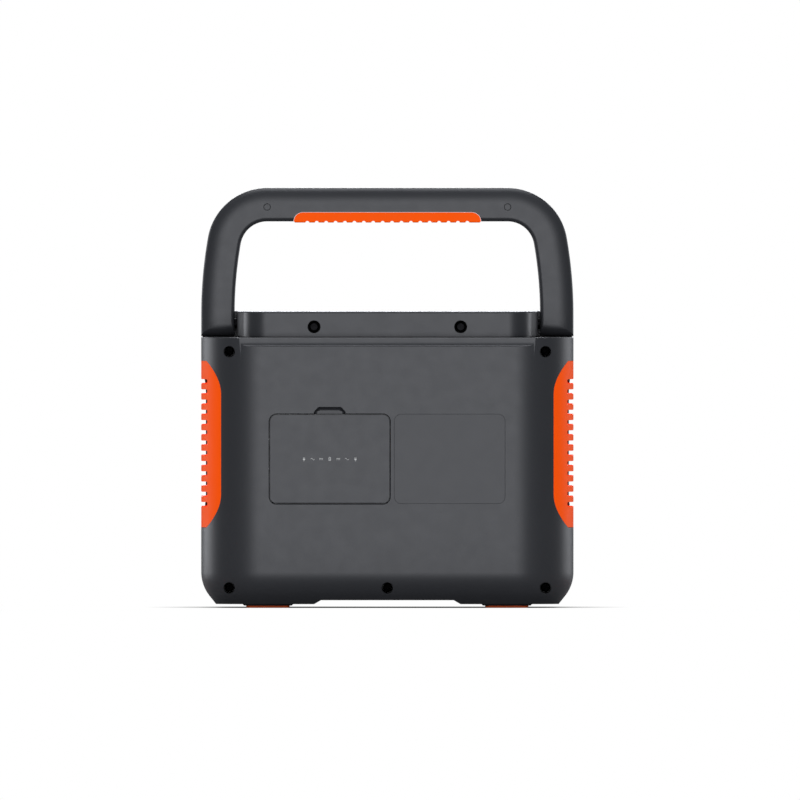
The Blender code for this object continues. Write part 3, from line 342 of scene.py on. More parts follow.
# %% [markdown]
# A loft joins each ring to the next with a band of quads and closes both ends. Rings can lie across any
# axis. A fillet is nothing more than a few rings, each drawn in or out by a quarter circle's rise, and that
# is how the lips of the openings are rounded: the cutter has the fillet, and leaves it behind.


# %% Lofts
def place_point(axis, first, second, along):
    return {"X": (along, first, second), "Y": (first, along, second), "Z": (first, second, along)}[axis]


def lofted(rings):
    mesh = bmesh.new()
    rows = [[mesh.verts.new(point) for point in ring] for ring in rings]
    for lower, upper in zip(rows, rows[1:]):
        for index in range(len(lower)):
            after = (index + 1) % len(lower)
            mesh.faces.new((lower[index], lower[after], upper[after], upper[index]))
    mesh.faces.new(list(reversed(rows[0])))
    mesh.faces.new(rows[-1])
    bmesh.ops.recalc_face_normals(mesh, faces=mesh.faces)
    return mesh


def prism(outline, axis, low, high):
    return lofted([[place_point(axis, a, b, along) for a, b in outline] for along in (low, high)])


def block(low, high):
    corners = [(low[0], low[1]), (high[0], low[1]), (high[0], high[1]), (low[0], high[1])]
    return prism(corners, "Z", low[2], high[2])


def turned(centre, axis, profile, sides=48):
    """A round solid from (distance along the axis, radius) pairs."""
    rings = []
    for along, radius in profile:
        rings.append([place_point(axis, a, b, along) for a, b in circle(centre, radius, sides)])
    return lofted(rings)


def shaped(outline, axis, profile):
    """A solid from a function of a margin: profile is (distance along the axis, margin) pairs."""
    return lofted(
        [[place_point(axis, a, b, along) for a, b in outline(margin)] for along, margin in profile],
    )


def fillet(start, towards, radius, steps=4):
    """(distance, margin) pairs of a rounded lip: widest at start, and straight after one radius."""
    pairs = []
    for step in range(steps + 1):
        angle = math.radians(90 * step / steps)
        margin = radius * (1 - math.sin(angle))
        pairs.append((start + towards * radius * (1 - math.cos(angle)), margin))
    return pairs


# %% [markdown]
# Cutting and joining use Blender's exact Boolean. Each result is kept at once and its cutter thrown away, so
# that no stray shape is left in the scene. Faces are then shaded smooth, with sharp edges only where the
# surface really turns, and the normals are weighted by face area, which keeps big flat faces flat.


# %% Pieces
def loose(mesh):
    data = bpy.data.meshes.new("loose")
    mesh.to_mesh(data)
    mesh.free()
    made = bpy.data.objects.new("loose", data)
    bpy.context.scene.collection.objects.link(made)
    return made


def together(meshes):
    """Several separate solids as one."""
    whole = bmesh.new()
    for mesh in meshes:
        data = bpy.data.meshes.new("part_of_whole")
        mesh.to_mesh(data)
        mesh.free()
        whole.from_mesh(data)
        bpy.data.meshes.remove(data)
    return whole


def combine(piece, shape, operation):
    other = shape if isinstance(shape, bpy.types.Object) else loose(shape)
    modifier = piece.modifiers.new("combine", "BOOLEAN")
    modifier.operation = operation
    modifier.solver = "EXACT"
    modifier.object = other
    evaluated = piece.evaluated_get(bpy.context.evaluated_depsgraph_get())
    result = bpy.data.meshes.new_from_object(evaluated)
    piece.modifiers.clear()
    old, piece.data = piece.data, result
    bpy.data.meshes.remove(old)
    spent = other.data
    bpy.data.objects.remove(other)
    bpy.data.meshes.remove(spent)


def cut(piece, *shapes):
    for shape in shapes:
        combine(piece, shape, "DIFFERENCE")


def join(piece, *shapes):
    for shape in shapes:
        combine(piece, shape, "UNION")


def finish(piece, name, finish_material, body, replaces=(), bevel=0.0, sharp=28):
    """Names a piece, gives it its surface, puts it on the body that carries it, and hides the imported nodes
    it stands for.
    """
    piece.name = name
    data = piece.data
    data.name = name
    data.materials.clear()
    data.materials.append(finish_material)
    for polygon in data.polygons:
        polygon.material_index = 0
    if bevel:
        rounder = piece.modifiers.new("rounded_edges", "BEVEL")
        rounder.width = bevel
        rounder.segments = 2
        rounder.limit_method = "ANGLE"
        rounder.angle_limit = math.radians(35)
    data.shade_smooth()
    data.set_sharp_from_angle(angle=math.radians(sharp if not bevel else 50))
    weight = piece.modifiers.new("flat_faces_flat", "WEIGHTED_NORMAL")
    weight.keep_sharp = True
    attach(piece, body)
    if replaces:
        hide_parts(*([replaces] if isinstance(replaces, str) else replaces))
    print(name, "has", len(data.polygons), "faces")
    return piece

# %% [markdown]
# ## The case
#
# The case is two shells, front and rear, that meet in a seam half way. Seen from above it is a rounded
# rectangle, and near the ground the wall curves in, so the solid is a stack of plans, each drawn in a
# little more than the one above. The two shells are the same solid, cut at the seam.
#
# It could be modelled from a box with a bevel, but the corners at the back are larger and not quite
# circular, and the foot's curve stops at an angle before it reaches the ground. A stack of plans gives
# both exactly.

# %% The case's plan and profile
WIDTH = 2 * box_of("rear_shell")[1].x
REAR_Y = box_of("rear_shell")[0].y
FRONT_Y = box_of("front_shell")[1].y
SHOULDER_Z = box_of("front_shell")[1].z
BOTTOM_Z = 3.5 * MM
WALL = 2.8 * MM
FLOOR_Z = 10.5 * MM
REAR_CORNER = (58 * MM, 57 * MM)
FRONT_CORNER = (40 * MM, 40 * MM)
BASE_START_Z = 34.2 * MM
BASE_RADIUS = 37 * MM
BASE_TURN = 38.5
SEAM = 0.3 * MM
CORNER_STEPS = 40
BASE_STEPS = 16


def case_plan(inset):
    points = []
    for quarter, (side_x, side_y) in enumerate(((1, 1), (-1, 1), (-1, -1), (1, -1))):
        corner = REAR_CORNER if side_y < 0 else FRONT_CORNER
        end_y = REAR_Y if side_y < 0 else FRONT_Y
        centre = (side_x * (WIDTH / 2 - corner[0]), end_y - side_y * corner[1])
        radii = (corner[0] - inset, corner[1] - inset)
        points += arc(centre, radii, 90 * quarter, 90 * (quarter + 1), CORNER_STEPS)
    return points


def foot_profile(inset, floor):
    """(inset, height) up the curved foot of the wall."""
    radius = BASE_RADIUS - inset
    turn = math.radians(BASE_TURN)
    low_z = BASE_START_Z - radius * math.sin(turn)
    profile = [(BASE_RADIUS - radius * math.cos(turn) + (low_z - floor) * math.tan(turn), floor)]
    for step in range(BASE_STEPS + 1):
        angle = turn * (1 - step / BASE_STEPS)
        profile.append((BASE_RADIUS - radius * math.cos(angle), BASE_START_Z - radius * math.sin(angle)))
    return profile


def case_solid(inset, floor_z, top_z, edge=0.0):
    profile = foot_profile(inset, floor_z)
    if edge:
        profile += [(inset, z * MM) for z in (60, 95, 130, 165, 200, 236)]
    for step in range(4 if edge else 0):
        angle = math.radians(30 * step)
        profile.append((inset + edge * (1 - math.cos(angle)), top_z - edge * (1 - math.sin(angle))))
    if not edge:
        profile.append((inset, top_z))
    return lofted([[(x, y, z) for x, y in case_plan(wall)] for wall, z in profile])


def upright(inset):
    return prism(case_plan(inset), "Z", -20 * MM, 300 * MM)


print("case: %.0f x %.0f mm" % (WIDTH / MM, (FRONT_Y - REAR_Y) / MM))

# %% [markdown]
# ## What is cut into the shells
#
# The two sides have shallow pockets for the vented panels, with a skin behind them and a round hole for the
# fan. Five deep bores take the screws that pull the shells together, driven from the rear. The underside
# is raised in the middle and stands on four low bosses, each with a recess for its foot pad.

# %% Side pockets, posts and foot bosses
PANEL_LOW, PANEL_HIGH = box_of("side_panel_right")
PANEL_CORNER = 35.5 * MM
PANEL_TURN = 62
PANEL_DEPTH = 9 * MM
POCKET_DEPTH = PANEL_DEPTH + 0.3 * MM
SKIN_DEPTH = POCKET_DEPTH + 2.7 * MM
FAN_CENTRE = (0, middle_of("fan_frame_right").z)
FAN_HOLE = 37.5 * MM
SCREW_X = 151.2 * MM
SCREW_PLACES = [(0, 19.1 * MM)] + [(side * SCREW_X, z * MM) for side in (-1, 1) for z in (19.1, 245)]
FOOT_X = middle_of("foot_rear_right").x
FOOT_Y = middle_of("foot_front_right").y


def panel_outline(margin, steps=16):
    """A side panel from the side. Its corners turn only part way, and meet the level edges at an angle."""
    points = []
    rise = PANEL_CORNER * math.sin(math.radians(PANEL_TURN))
    radius = PANEL_CORNER + margin
    for end_y, side in ((PANEL_HIGH.y, 1), (PANEL_LOW.y, -1)):
        centre_y = end_y - side * PANEL_CORNER
        low = arc((centre_y, PANEL_LOW.z + rise), (radius, radius), -PANEL_TURN, 0, steps)
        high = arc((centre_y, PANEL_HIGH.z - rise), (radius, radius), 0, PANEL_TURN, steps)
        quarter = [(centre_y + side * (y - centre_y), z) for y, z in low + high]
        points += quarter if side > 0 else reversed(quarter)
    return points


def side_block(side, margin):
    low, high = sorted((side * 138 * MM, side * 200 * MM))
    return prism(panel_outline(margin), "X", low, high)


def foot_block(x, y, margin, low, high, taper, corner=5 * MM):
    low_size = (42 * MM + 2 * (margin - taper), 25 * MM + 2 * (margin - taper))
    high_size = (42 * MM + 2 * margin, 25 * MM + 2 * margin)
    rings = []
    for z, size in ((low, low_size), (high, high_size)):
        rings.append([(px, py, z) for px, py in rounded_rectangle((x, y), size, corner, 8)])
    return lofted(rings)


def other_half(side):
    """Everything on the far side of the seam from a shell, and half of the seam's gap."""
    low, high = sorted((side * SEAM / 2, -side * 200 * MM))
    return block((-250 * MM, low, -50 * MM), (250 * MM, high, 450 * MM))


def shell(side):
    piece = loose(case_solid(0, BOTTOM_Z, SHOULDER_Z, 0.7 * MM))
    cut(piece, case_solid(WALL, FLOOR_Z, SHOULDER_Z - WALL), other_half(side))
    near, far = sorted((side * SEAM / 2, side * 150 * MM))
    posts = loose(
        together([turned(place, "Y", [(near, 7.6 * MM), (far, 7.6 * MM)]) for place in SCREW_PLACES]),
    )
    combine(posts, case_solid(1 * MM, BOTTOM_Z + MM, SHOULDER_Z - MM), "INTERSECT")
    join(piece, posts)
    for hand in (-1, 1):
        skin = loose(side_block(hand, 3.3 * MM))
        combine(skin, upright(0.5 * MM), "INTERSECT")
        cut(skin, upright(SKIN_DEPTH), other_half(side))
        join(piece, skin)
        pocket = loose(side_block(hand, 0.35 * MM))
        cut(pocket, upright(POCKET_DEPTH))
        cut(piece, pocket)
    cut(piece, turned(FAN_CENTRE, "X", [(-173 * MM, FAN_HOLE), (173 * MM, FAN_HOLE)]))
    for x in (-FOOT_X, FOOT_X):
        join(piece, foot_block(x, side * FOOT_Y, 4.2 * MM, 2.1 * MM, BOTTOM_Z + MM, 2.4 * MM))
        cut(piece, foot_block(x, side * FOOT_Y, 0.3 * MM, 0, 4 * MM, 0))
    cut(
        piece,
        block((-130 * MM, -60 * MM, SHOULDER_Z - 20 * MM), (130 * MM, 100 * MM, SHOULDER_Z + 20 * MM)),
    )
    arch = [(-76.5 * MM, -0.3 * MM), (76.5 * MM, -0.3 * MM), (63.5 * MM, 7.3 * MM), (-63.5 * MM, 7.3 * MM)]
    cut(piece, prism(arch, "Y", -200 * MM, 200 * MM))
    return piece


rear_shell = shell(-1)
front_shell = shell(1)
print("shell faces:", len(rear_shell.data.polygons), len(front_shell.data.polygons))

# %% [markdown]
# ## The rear shell's own details
#
# Along the top of the rear face runs a cove, a hollow that lightens the edge: a profile of a short ramp and
# a small upright lip, cut straight across, so it runs out on the round corners by itself. Below it are the
# port opening with a collar behind it, a notch for a fingertip above the door, and a very shallow recess
# for the label. Every opening has a small rounded lip, which the cutter brings with it.

# %% The cove, the bores and the openings behind
COVE_DEPTH = 3.9 * MM
COVE_LOW_Z = SHOULDER_Z - 8.6 * MM
COVE_TOP_Z = SHOULDER_Z - 3.9 * MM
DOOR_LOW, DOOR_HIGH = box_of("port_door")
DOOR_GAP = 0.9 * MM
DOOR_CORNER = 6.6 * MM
DOOR_MIDDLE = ((DOOR_LOW.x + DOOR_HIGH.x) / 2, (DOOR_LOW.z + DOOR_HIGH.z) / 2)
DOOR_SIZE = (DOOR_HIGH.x - DOOR_LOW.x, DOOR_HIGH.z - DOOR_LOW.z)
LABEL_LOW, LABEL_HIGH = box_of("label_plate")
LABEL_MIDDLE = ((LABEL_LOW.x + LABEL_HIGH.x) / 2, (LABEL_LOW.z + LABEL_HIGH.z) / 2)
LABEL_SIZE = (LABEL_HIGH.x - LABEL_LOW.x, LABEL_HIGH.z - LABEL_LOW.z)


def framed(middle, size, corner):
    """A rounded rectangle as a function of the margin round it."""

    def outline(margin):
        grown = (size[0] + 2 * margin, size[1] + 2 * margin)
        return rounded_rectangle(middle, grown, max(corner + margin, 0.05 * MM))

    return outline


door_outline = framed(DOOR_MIDDLE, DOOR_SIZE, DOOR_CORNER)
label_outline = framed(LABEL_MIDDLE, LABEL_SIZE, DOOR_CORNER)


def opening(outline, face_y, inwards, depth, gap, lip):
    """A cutter for a hole in a face across Y, with a rounded lip. inwards is +1 or -1 along Y."""
    profile = [(face_y - inwards * 30 * MM, gap + lip)]
    profile += [(along, gap + margin) for along, margin in fillet(face_y, inwards, lip)]
    profile.append((face_y + inwards * depth, gap))
    return shaped(outline, "Y", profile)


cove = [(REAR_Y - 4 * MM, COVE_LOW_Z - 3.2 * MM), (REAR_Y, COVE_LOW_Z)]
cove += arc((REAR_Y, COVE_TOP_Z), (COVE_DEPTH, COVE_TOP_Z - COVE_LOW_Z), -72, -24, 6)
cove += [
    (REAR_Y + COVE_DEPTH, COVE_TOP_Z),
    (REAR_Y + COVE_DEPTH, SHOULDER_Z - 0.7 * MM),
    (REAR_Y + COVE_DEPTH + 0.7 * MM, SHOULDER_Z),
    (REAR_Y + COVE_DEPTH + 0.7 * MM, SHOULDER_Z + 20 * MM),
    (REAR_Y - 4 * MM, SHOULDER_Z + 20 * MM),
]
backing = loose(
    block((-170 * MM, REAR_Y + MM, SHOULDER_Z - 11 * MM), (170 * MM, REAR_Y + 7 * MM, SHOULDER_Z - MM)),
)
combine(backing, case_solid(MM, BOTTOM_Z + MM, SHOULDER_Z - 0.8 * MM), "INTERSECT")
join(rear_shell, backing)
cut(rear_shell, prism(cove, "X", -200 * MM, 200 * MM))

SCREW_SEAT_Y = -6 * MM
cut(
    rear_shell,
    together(
        [turned(place, "Y", [(-150 * MM, 5.45 * MM), (SCREW_SEAT_Y, 5.45 * MM)]) for place in SCREW_PLACES],
    ),
    together([turned(place, "Y", [(-8 * MM, 2.2 * MM), (20 * MM, 2.2 * MM)]) for place in SCREW_PLACES]),
)
cut(
    front_shell,
    together([turned(place, "Y", [(-1 * MM, 2.05 * MM), (33 * MM, 2.05 * MM)]) for place in SCREW_PLACES]),
)
DECK_SCREW_X = middle_of("deck_screw_right").x
DECK_SCREW_Z = middle_of("deck_screw_right").z
for side in (-1, 1):
    x = side * DECK_SCREW_X
    join(
        rear_shell,
        block((x - 10 * MM, -70 * MM, SHOULDER_Z - MM), (x + 10 * MM, -66 * MM, SHOULDER_Z + 17 * MM)),
    )
    cut(rear_shell, turned((x, DECK_SCREW_Z), "Y", [(-80 * MM, 2.05 * MM), (-50 * MM, 2.05 * MM)], 24))

COLLAR_Y = REAR_Y + 9 * MM
join(rear_shell, shaped(door_outline, "Y", [(REAR_Y + MM, 3.4 * MM), (COLLAR_Y, 3.4 * MM)]))
NOTCH_X = DOOR_MIDDLE[0]
NOTCH_Z = DOOR_HIGH.z + DOOR_GAP
NOTCH_DEPTH = 5.5 * MM
join(
    rear_shell,
    block(
        (NOTCH_X - 17.8 * MM, REAR_Y + MM, NOTCH_Z - MM),
        (NOTCH_X + 17.8 * MM, COLLAR_Y, NOTCH_Z + 9.2 * MM),
    ),
    shaped(label_outline, "Y", [(REAR_Y + MM, 3.2 * MM), (REAR_Y + 4.4 * MM, 3.2 * MM)]),
)


def notch_outline(margin):
    """The finger notch: upright sides, slanted upper corners and a level top."""
    half, top_half, rise = 14.8 * MM + margin, 10.5 * MM + margin * 0.5, 6.2 * MM + margin
    right = [(half, -3 * MM), (half, 1.2 * MM)]
    right += arc((half - 2 * MM, 1.2 * MM), (2 * MM, 2 * MM), 0, 40, 4)
    right += arc((top_half - 0.6 * MM, rise - 1.6 * MM), (1.6 * MM, 1.6 * MM), 45, 90, 4)
    points = [(NOTCH_X + x, NOTCH_Z + z) for x, z in right]
    return points + [(2 * NOTCH_X - x, z) for x, z in reversed(points)]


SCOOP = [(REAR_Y - 30 * MM, 0.4 * MM), (REAR_Y, 0.4 * MM), (REAR_Y + 0.3 * MM, 0.1 * MM)]
for step in range(1, 7):
    angle = math.radians(15 * step)
    SCOOP.append(
        (REAR_Y + 0.3 * MM + (NOTCH_DEPTH - 0.3 * MM) * math.sin(angle), -3.2 * MM * (1 - math.cos(angle))),
    )
cut(
    rear_shell,
    shaped(notch_outline, "Y", SCOOP),
    opening(door_outline, REAR_Y, 1, 30 * MM, DOOR_GAP, 0.35 * MM),
    opening(label_outline, REAR_Y, 1, 1 * MM, 0.2 * MM, 0.15 * MM),
)
hinge_y, hinge_z = middle_of("port_door_pin").y, middle_of("port_door_pin").z
pin_low, pin_high = box_of("port_door_pin")
cut(
    rear_shell,
    turned(
        (hinge_y, hinge_z),
        "X",
        [(pin_low.x - 0.1 * MM, 0.45 * MM), (pin_high.x + 0.1 * MM, 0.45 * MM)],
        20,
    ),
    turned(
        (hinge_y, hinge_z),
        "X",
        [(DOOR_LOW.x + 1.9 * MM, 1.35 * MM), (DOOR_HIGH.x - 1.9 * MM, 1.35 * MM)],
        20,
    ),
)
finish(rear_shell, "rear_case", case_grey, "case", "rear_shell")

# %% [markdown]
# ## The front shell
#
# The front face has one large recess for the outlet panel. The panel lies a millimetre below the face, on a
# narrow ledge, and the recess has the same rounded lip as the openings behind.

# %% The front shell's recess
FASCIA_LOW, FASCIA_HIGH = box_of("front_fascia")
FASCIA_MIDDLE = (0, (FASCIA_LOW.z + FASCIA_HIGH.z) / 2)
FASCIA_SIZE = (FASCIA_HIGH.x - FASCIA_LOW.x, FASCIA_HIGH.z - FASCIA_LOW.z)
fascia_outline = framed(FASCIA_MIDDLE, FASCIA_SIZE, 16 * MM)
FASCIA_BACK = FASCIA_LOW.y
FASCIA_FACE = FASCIA_HIGH.y
join(front_shell, shaped(fascia_outline, "Y", [(FASCIA_BACK - 3 * MM, 3 * MM), (FRONT_Y - MM, 3 * MM)]))
cut(
    front_shell,
    opening(fascia_outline, FRONT_Y, -1, FRONT_Y - FASCIA_BACK + 0.3 * MM, 0.3 * MM, 0.6 * MM),
    shaped(fascia_outline, "Y", [(100 * MM, -3 * MM), (150 * MM, -3 * MM)]),
)
finish(front_shell, "front_case", case_grey, "case", "front_shell")

# %% [markdown]
# ## The top deck
#
# The deck is one moulding: a full-width block at the front, and a narrower tongue at the back that fills
# the handle when it is folded down. So the tongue's outline is the handle's inner edge, drawn in by a
# small clearance. The handle's edge is two arcs, a tight corner and a long, almost straight flank. Its
# foot is drawn in to leave a fine shadow line above the case.

# %% The handle's edge and the deck's plan
HANDLE_LOW, HANDLE_HIGH = box_of("handle_rear_half")
HALF_THICK = -HANDLE_LOW.y
PIVOT_Z = middle_of("hinge_pin_right").z
HANDLE_BAND = 32 * MM
HANDLE_CORNER = 57.5 * MM
HANDLE_CORNER_X = 115 * MM
CORNER_TURN = 80
DECK_CLEARANCE = 2.2 * MM
DECK_FRONT_Y = 14 * MM
DECK_LOW, DECK_HIGH = box_of("top_deck")


def handle_edge(offset, corner_steps=32, flank_steps=14):
    """Half of the handle's outer edge, drawn in by offset: (x, height above the pivot)."""
    turn = math.radians(90 - CORNER_TURN)
    corner_up = HANDLE_HIGH.z - PIVOT_Z - HANDLE_CORNER
    flank = (WIDTH / 2 - HANDLE_CORNER_X - HANDLE_CORNER * math.cos(turn)) / (1 - math.cos(turn))
    flank_x = WIDTH / 2 - flank
    flank_up = corner_up - (flank - HANDLE_CORNER) * math.sin(turn)
    corner_radius, flank_radius = HANDLE_CORNER - offset, flank - offset
    bend = arc(
        (HANDLE_CORNER_X, corner_up), (corner_radius, corner_radius), 90, 90 - CORNER_TURN, corner_steps
    )
    side = arc((flank_x, flank_up), (flank_radius, flank_radius), 90 - CORNER_TURN, 0, flank_steps)
    return bend + side[1:]


def deck_outline(inset):
    start_y = DECK_FRONT_Y + inset
    front = [point for point in case_plan(inset) if point[1] > start_y + MM]
    tongue = [(x, -up) for x, up in handle_edge(HANDLE_BAND + DECK_CLEARANCE + inset)]
    arm_x = tongue[-1][0]
    half_block = WIDTH / 2 - inset
    left = [(-half_block, start_y), (-arm_x, start_y)] + [(-x, y) for x, y in reversed(tongue)]
    return front + left + tongue + [(arm_x, start_y), (half_block, start_y)]


deck_rings = []
TOP_EDGE = 2.0 * MM
for z, inset in [(DECK_LOW.z, 1.3 * MM), (DECK_LOW.z + 0.8 * MM, 1.3 * MM), (DECK_LOW.z + 1.0 * MM, 0)]:
    deck_rings.append((z, inset))
for step in range(7):
    angle = math.radians(15 * step)
    deck_rings.append((DECK_HIGH.z - TOP_EDGE * (1 - math.sin(angle)), TOP_EDGE * (1 - math.cos(angle))))
top_deck = loose(lofted([[(x, y, z) for x, y in deck_outline(inset)] for z, inset in deck_rings]))
cut(
    top_deck,
    lofted(
        [[(x, y, z) for x, y in deck_outline(2.6 * MM)] for z in (DECK_LOW.z - MM, DECK_HIGH.z - 2.6 * MM)],
    ),
)
print("deck plan:", len(deck_outline(0)), "points")

# %% [markdown]
# Inside the deck two bosses hold the hinge pins, and two short sleeves in its rear wall take the screws that
# tie it to the shell. The sleeves are what shows, as two dark round recesses.

# %% The deck's bosses and screw recesses
DECK_SIDE_X = WIDTH / 2 - HANDLE_BAND - DECK_CLEARANCE
DECK_REAR_Y = -(HANDLE_HIGH.z - PIVOT_Z - HANDLE_BAND - DECK_CLEARANCE)
DECK_SEAT_Y = box_of("deck_screw_right")[0].y + 2.6 * MM
for side in (-1, 1):
    inner, outer = side * 131 * MM, side * (DECK_SIDE_X - MM)
    join(top_deck, turned((0, PIVOT_Z), "X", [(inner, 9 * MM), (outer, 9 * MM)]))
    cut(
        top_deck,
        turned((0, PIVOT_Z), "X", [(inner - side * MM, 5.1 * MM), (outer + side * 2 * MM, 5.1 * MM)]),
    )
    place = (side * DECK_SCREW_X, DECK_SCREW_Z)
    join(top_deck, turned(place, "Y", [(DECK_REAR_Y + MM, 7.8 * MM), (-70.3 * MM, 7.8 * MM)]))
    recess = [(DECK_REAR_Y - 10 * MM, 6.3 * MM), (DECK_REAR_Y, 6.3 * MM), (DECK_REAR_Y + 0.3 * MM, 6 * MM)]
    cut(top_deck, turned(place, "Y", recess + [(DECK_SEAT_Y, 6 * MM)]))
    cut(top_deck, turned(place, "Y", [(DECK_SEAT_Y - MM, 2.2 * MM), (-69 * MM, 2.2 * MM)], 24))
finish(top_deck, "deck", case_grey, "case", "top_deck")

# %% [markdown]
# ## The handle
#
# The handle is a flat band of even width, bent round two corners and pressed together from two halves. Its
# inner edge, where the fingers go, has a tight rounding. Its outer edge is crowned: the surface leans back
# over the outer half of the band. In section that is two quarter ellipses, one small and one wide, so each
# half is a loft across its thickness whose outline is drawn in by those two amounts. The feet are round,
# so the outline's lower end rises as the loft reaches the face.

# %% The handle's halves
CROWN = (16 * MM, 7 * MM)
INNER_EDGE = 4 * MM
BAR_LOW_Z = HANDLE_HIGH.z - HANDLE_BAND
PIN_OUTER_X = box_of("hinge_pin_right")[1].x


def handle_band(outer, inner, foot):
    half = [point for point in handle_edge(outer) if point[1] > foot]
    half += [(WIDTH / 2 - outer, foot), (WIDTH / 2 - inner, foot)]
    half += [point for point in reversed(handle_edge(inner)) if point[1] > foot]
    right = [(x, PIVOT_Z + up) for x, up in half]
    return right + [(-x, z) for x, z in reversed(right)]


def drawn_in(depth, reach, rise):
    beyond = max(0.0, depth - (HALF_THICK - rise)) / rise
    return reach * (1 - math.sqrt(1 - min(1.0, beyond**2)))


GRIP_LOW, GRIP_HIGH = box_of("handle_grip")
GRIP_TOP_HALF = 80.5 * MM


def grip_outline(margin, low_z, inset=0.0):
    """The grip from behind: level below, with a curved ramp up at each end."""
    reach = GRIP_HIGH.x - GRIP_TOP_HALF + margin - inset
    rise = GRIP_HIGH.z - BAR_LOW_Z + margin - inset
    right = [(GRIP_HIGH.x - (0 if margin else 1.2 * MM) + margin - inset, low_z)]
    right += arc((GRIP_TOP_HALF, BAR_LOW_Z), (reach, rise), 0, 90, 20)
    return right + [(-x, z) for x, z in reversed(right)]


def handle_half(side):
    depths = [SEAM / 2, 0.5 * MM, 3 * MM, 5 * MM]
    depths += [HALF_THICK - CROWN[1] * (1 - math.sin(math.radians(6 * step))) for step in range(1, 15)]
    depths.append(HALF_THICK)
    rings = []
    for index, depth in enumerate(depths):
        seam_edge = 0.25 * MM if index == 0 else 0
        outer = drawn_in(depth, *CROWN) + seam_edge
        inner = drawn_in(depth, INNER_EDGE, INNER_EDGE) + seam_edge
        foot = -math.sqrt(HALF_THICK**2 - depth**2)
        rings.append([(x, side * depth, z) for x, z in handle_band(outer, HANDLE_BAND - inner, foot)])
    piece = loose(lofted(rings))
    near, far = sorted((-side * MM, side * 4.8 * MM))
    cut(piece, prism(handle_band(8.7 * MM, 20.3 * MM, 15.7 * MM), "Y", near, far))
    for hand in (-1, 1):
        ends = (hand * (WIDTH / 2 - HANDLE_BAND - MM), hand * (PIN_OUTER_X + 0.3 * MM))
        cut(piece, turned((0, PIVOT_Z), "X", [(x, 5.12 * MM) for x in ends]))
    cut(piece, prism(grip_outline(0.3 * MM, BAR_LOW_Z - 20 * MM), "Y", -20 * MM, 20 * MM))
    return piece


handle_rear, handle_front = handle_half(-1), handle_half(1)
PLUG = middle_of("handle_plug_right")
PLUG_RADIUS = (box_of("handle_plug_right")[1].x - box_of("handle_plug_right")[0].x) / 2
for side in (-1, 1):
    hole = [
        (-20 * MM, 3.5 * MM),
        (-HALF_THICK, 3.5 * MM),
        (-HALF_THICK + 0.25 * MM, 3.25 * MM),
        (-7.7 * MM, 3.25 * MM),
    ]
    cut(handle_rear, turned((side * PLUG.x, PLUG.z), "Y", hole))
finish(handle_rear, "handle_rear", case_grey, "carrying_handle", "handle_rear_half")
finish(handle_front, "handle_front", case_grey, "carrying_handle", "handle_front_half")

# %% [markdown]
# ## The grip
#
# Under the bar is a softer grip, moulded in orange and ribbed below so that it doesn't slip. The ribs are
# left between scooped grooves, and both the grooves and the long lower edges are rounded.

# %% The grip
GROOVES = 18
GROOVE_PITCH = 9 * MM
grip_rubber = moulded(
    "grip_rubber",
    (1.0, 0.1, 0.002),
    (0.5, 0.6),
    grain=0.35,
    depth=0.06,
    mottle=0.015,
    specular=0.05,
)
# The grip gets the same painted glow, an emission that lightens it in shade.
painted_orange_glow(grip_rubber)
EDGE_DEPTH, EDGE_LIFT = 3.2 * MM, 1.0 * MM
edge_rings = []
for step in range(7):
    angle = math.radians(15 * step)
    depth = HALF_THICK - EDGE_DEPTH * (1 - math.sin(angle))
    edge_rings.append((depth, EDGE_LIFT * (1 - math.cos(angle))))
grip_rings = [(-depth, lift) for depth, lift in reversed(edge_rings)] + edge_rings
grip = loose(lofted([[(x, y, z) for x, z in grip_outline(0, GRIP_LOW.z + lift)] for y, lift in grip_rings]))
scoops = []
for index in range(GROOVES):
    x = (index - (GROOVES - 1) / 2) * GROOVE_PITCH
    scoop = [
        (x - 2.6 * MM, GRIP_LOW.z - 4 * MM),
        (x + 2.6 * MM, GRIP_LOW.z - 4 * MM),
        (x + 2.3 * MM, GRIP_LOW.z),
    ]
    scoop += arc((x, GRIP_LOW.z - 0.1 * MM), (1.8 * MM, 1.7 * MM), 10, 170, 8)
    scoop += [(x - 2.3 * MM, GRIP_LOW.z)]
    scoops.append(prism(scoop, "Y", -20 * MM, 20 * MM))
cut(grip, together(scoops))
finish(grip, "ribbed_grip", grip_rubber, "carrying_handle", "handle_grip")
print("grooves:", GROOVES)

# %% [markdown]
# Two small plugs close the screw holes in the back of the bar. They sit a fraction below the surface, so
# each shows as a ring. The steel strap inside the bar carries the load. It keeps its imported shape, since it
# doesn't show, and only needs a metal surface.


# %% Plugs, strap and pins
def bare_metal(name, colour, rough, streak=(1.0, 1.0, 12.0)):
    """A metal whose roughness and colour run in faint streaks along one direction."""
    made = bpy.data.materials.new(name)
    made.use_nodes = True
    nodes, links = made.node_tree.nodes, made.node_tree.links
    shader = nodes["Principled BSDF"]
    shader.inputs["Metallic"].default_value = 1.0
    mapping = nodes.new("ShaderNodeMapping")
    mapping.inputs["Scale"].default_value = streak
    links.new(nodes.new("ShaderNodeTexCoord").outputs["Object"], mapping.inputs["Vector"])
    grain = noise(nodes, links, mapping.outputs["Vector"], 260.0, 4.0)
    tone = nodes.new("ShaderNodeMix")
    tone.data_type = "RGBA"
    tone.inputs["A"].default_value = (*[channel * 0.82 for channel in colour], 1)
    tone.inputs["B"].default_value = (*colour, 1)
    links.new(spread(nodes, links, grain, 0, 1), tone.inputs["Factor"])
    links.new(tone.outputs["Result"], shader.inputs["Base Color"])
    links.new(spread(nodes, links, grain, *rough), shader.inputs["Roughness"])
    return made


mill_aluminium = bare_metal("mill_aluminium", (0.78, 0.78, 0.79), (0.3, 0.48), (1.0, 9.0, 1.0))


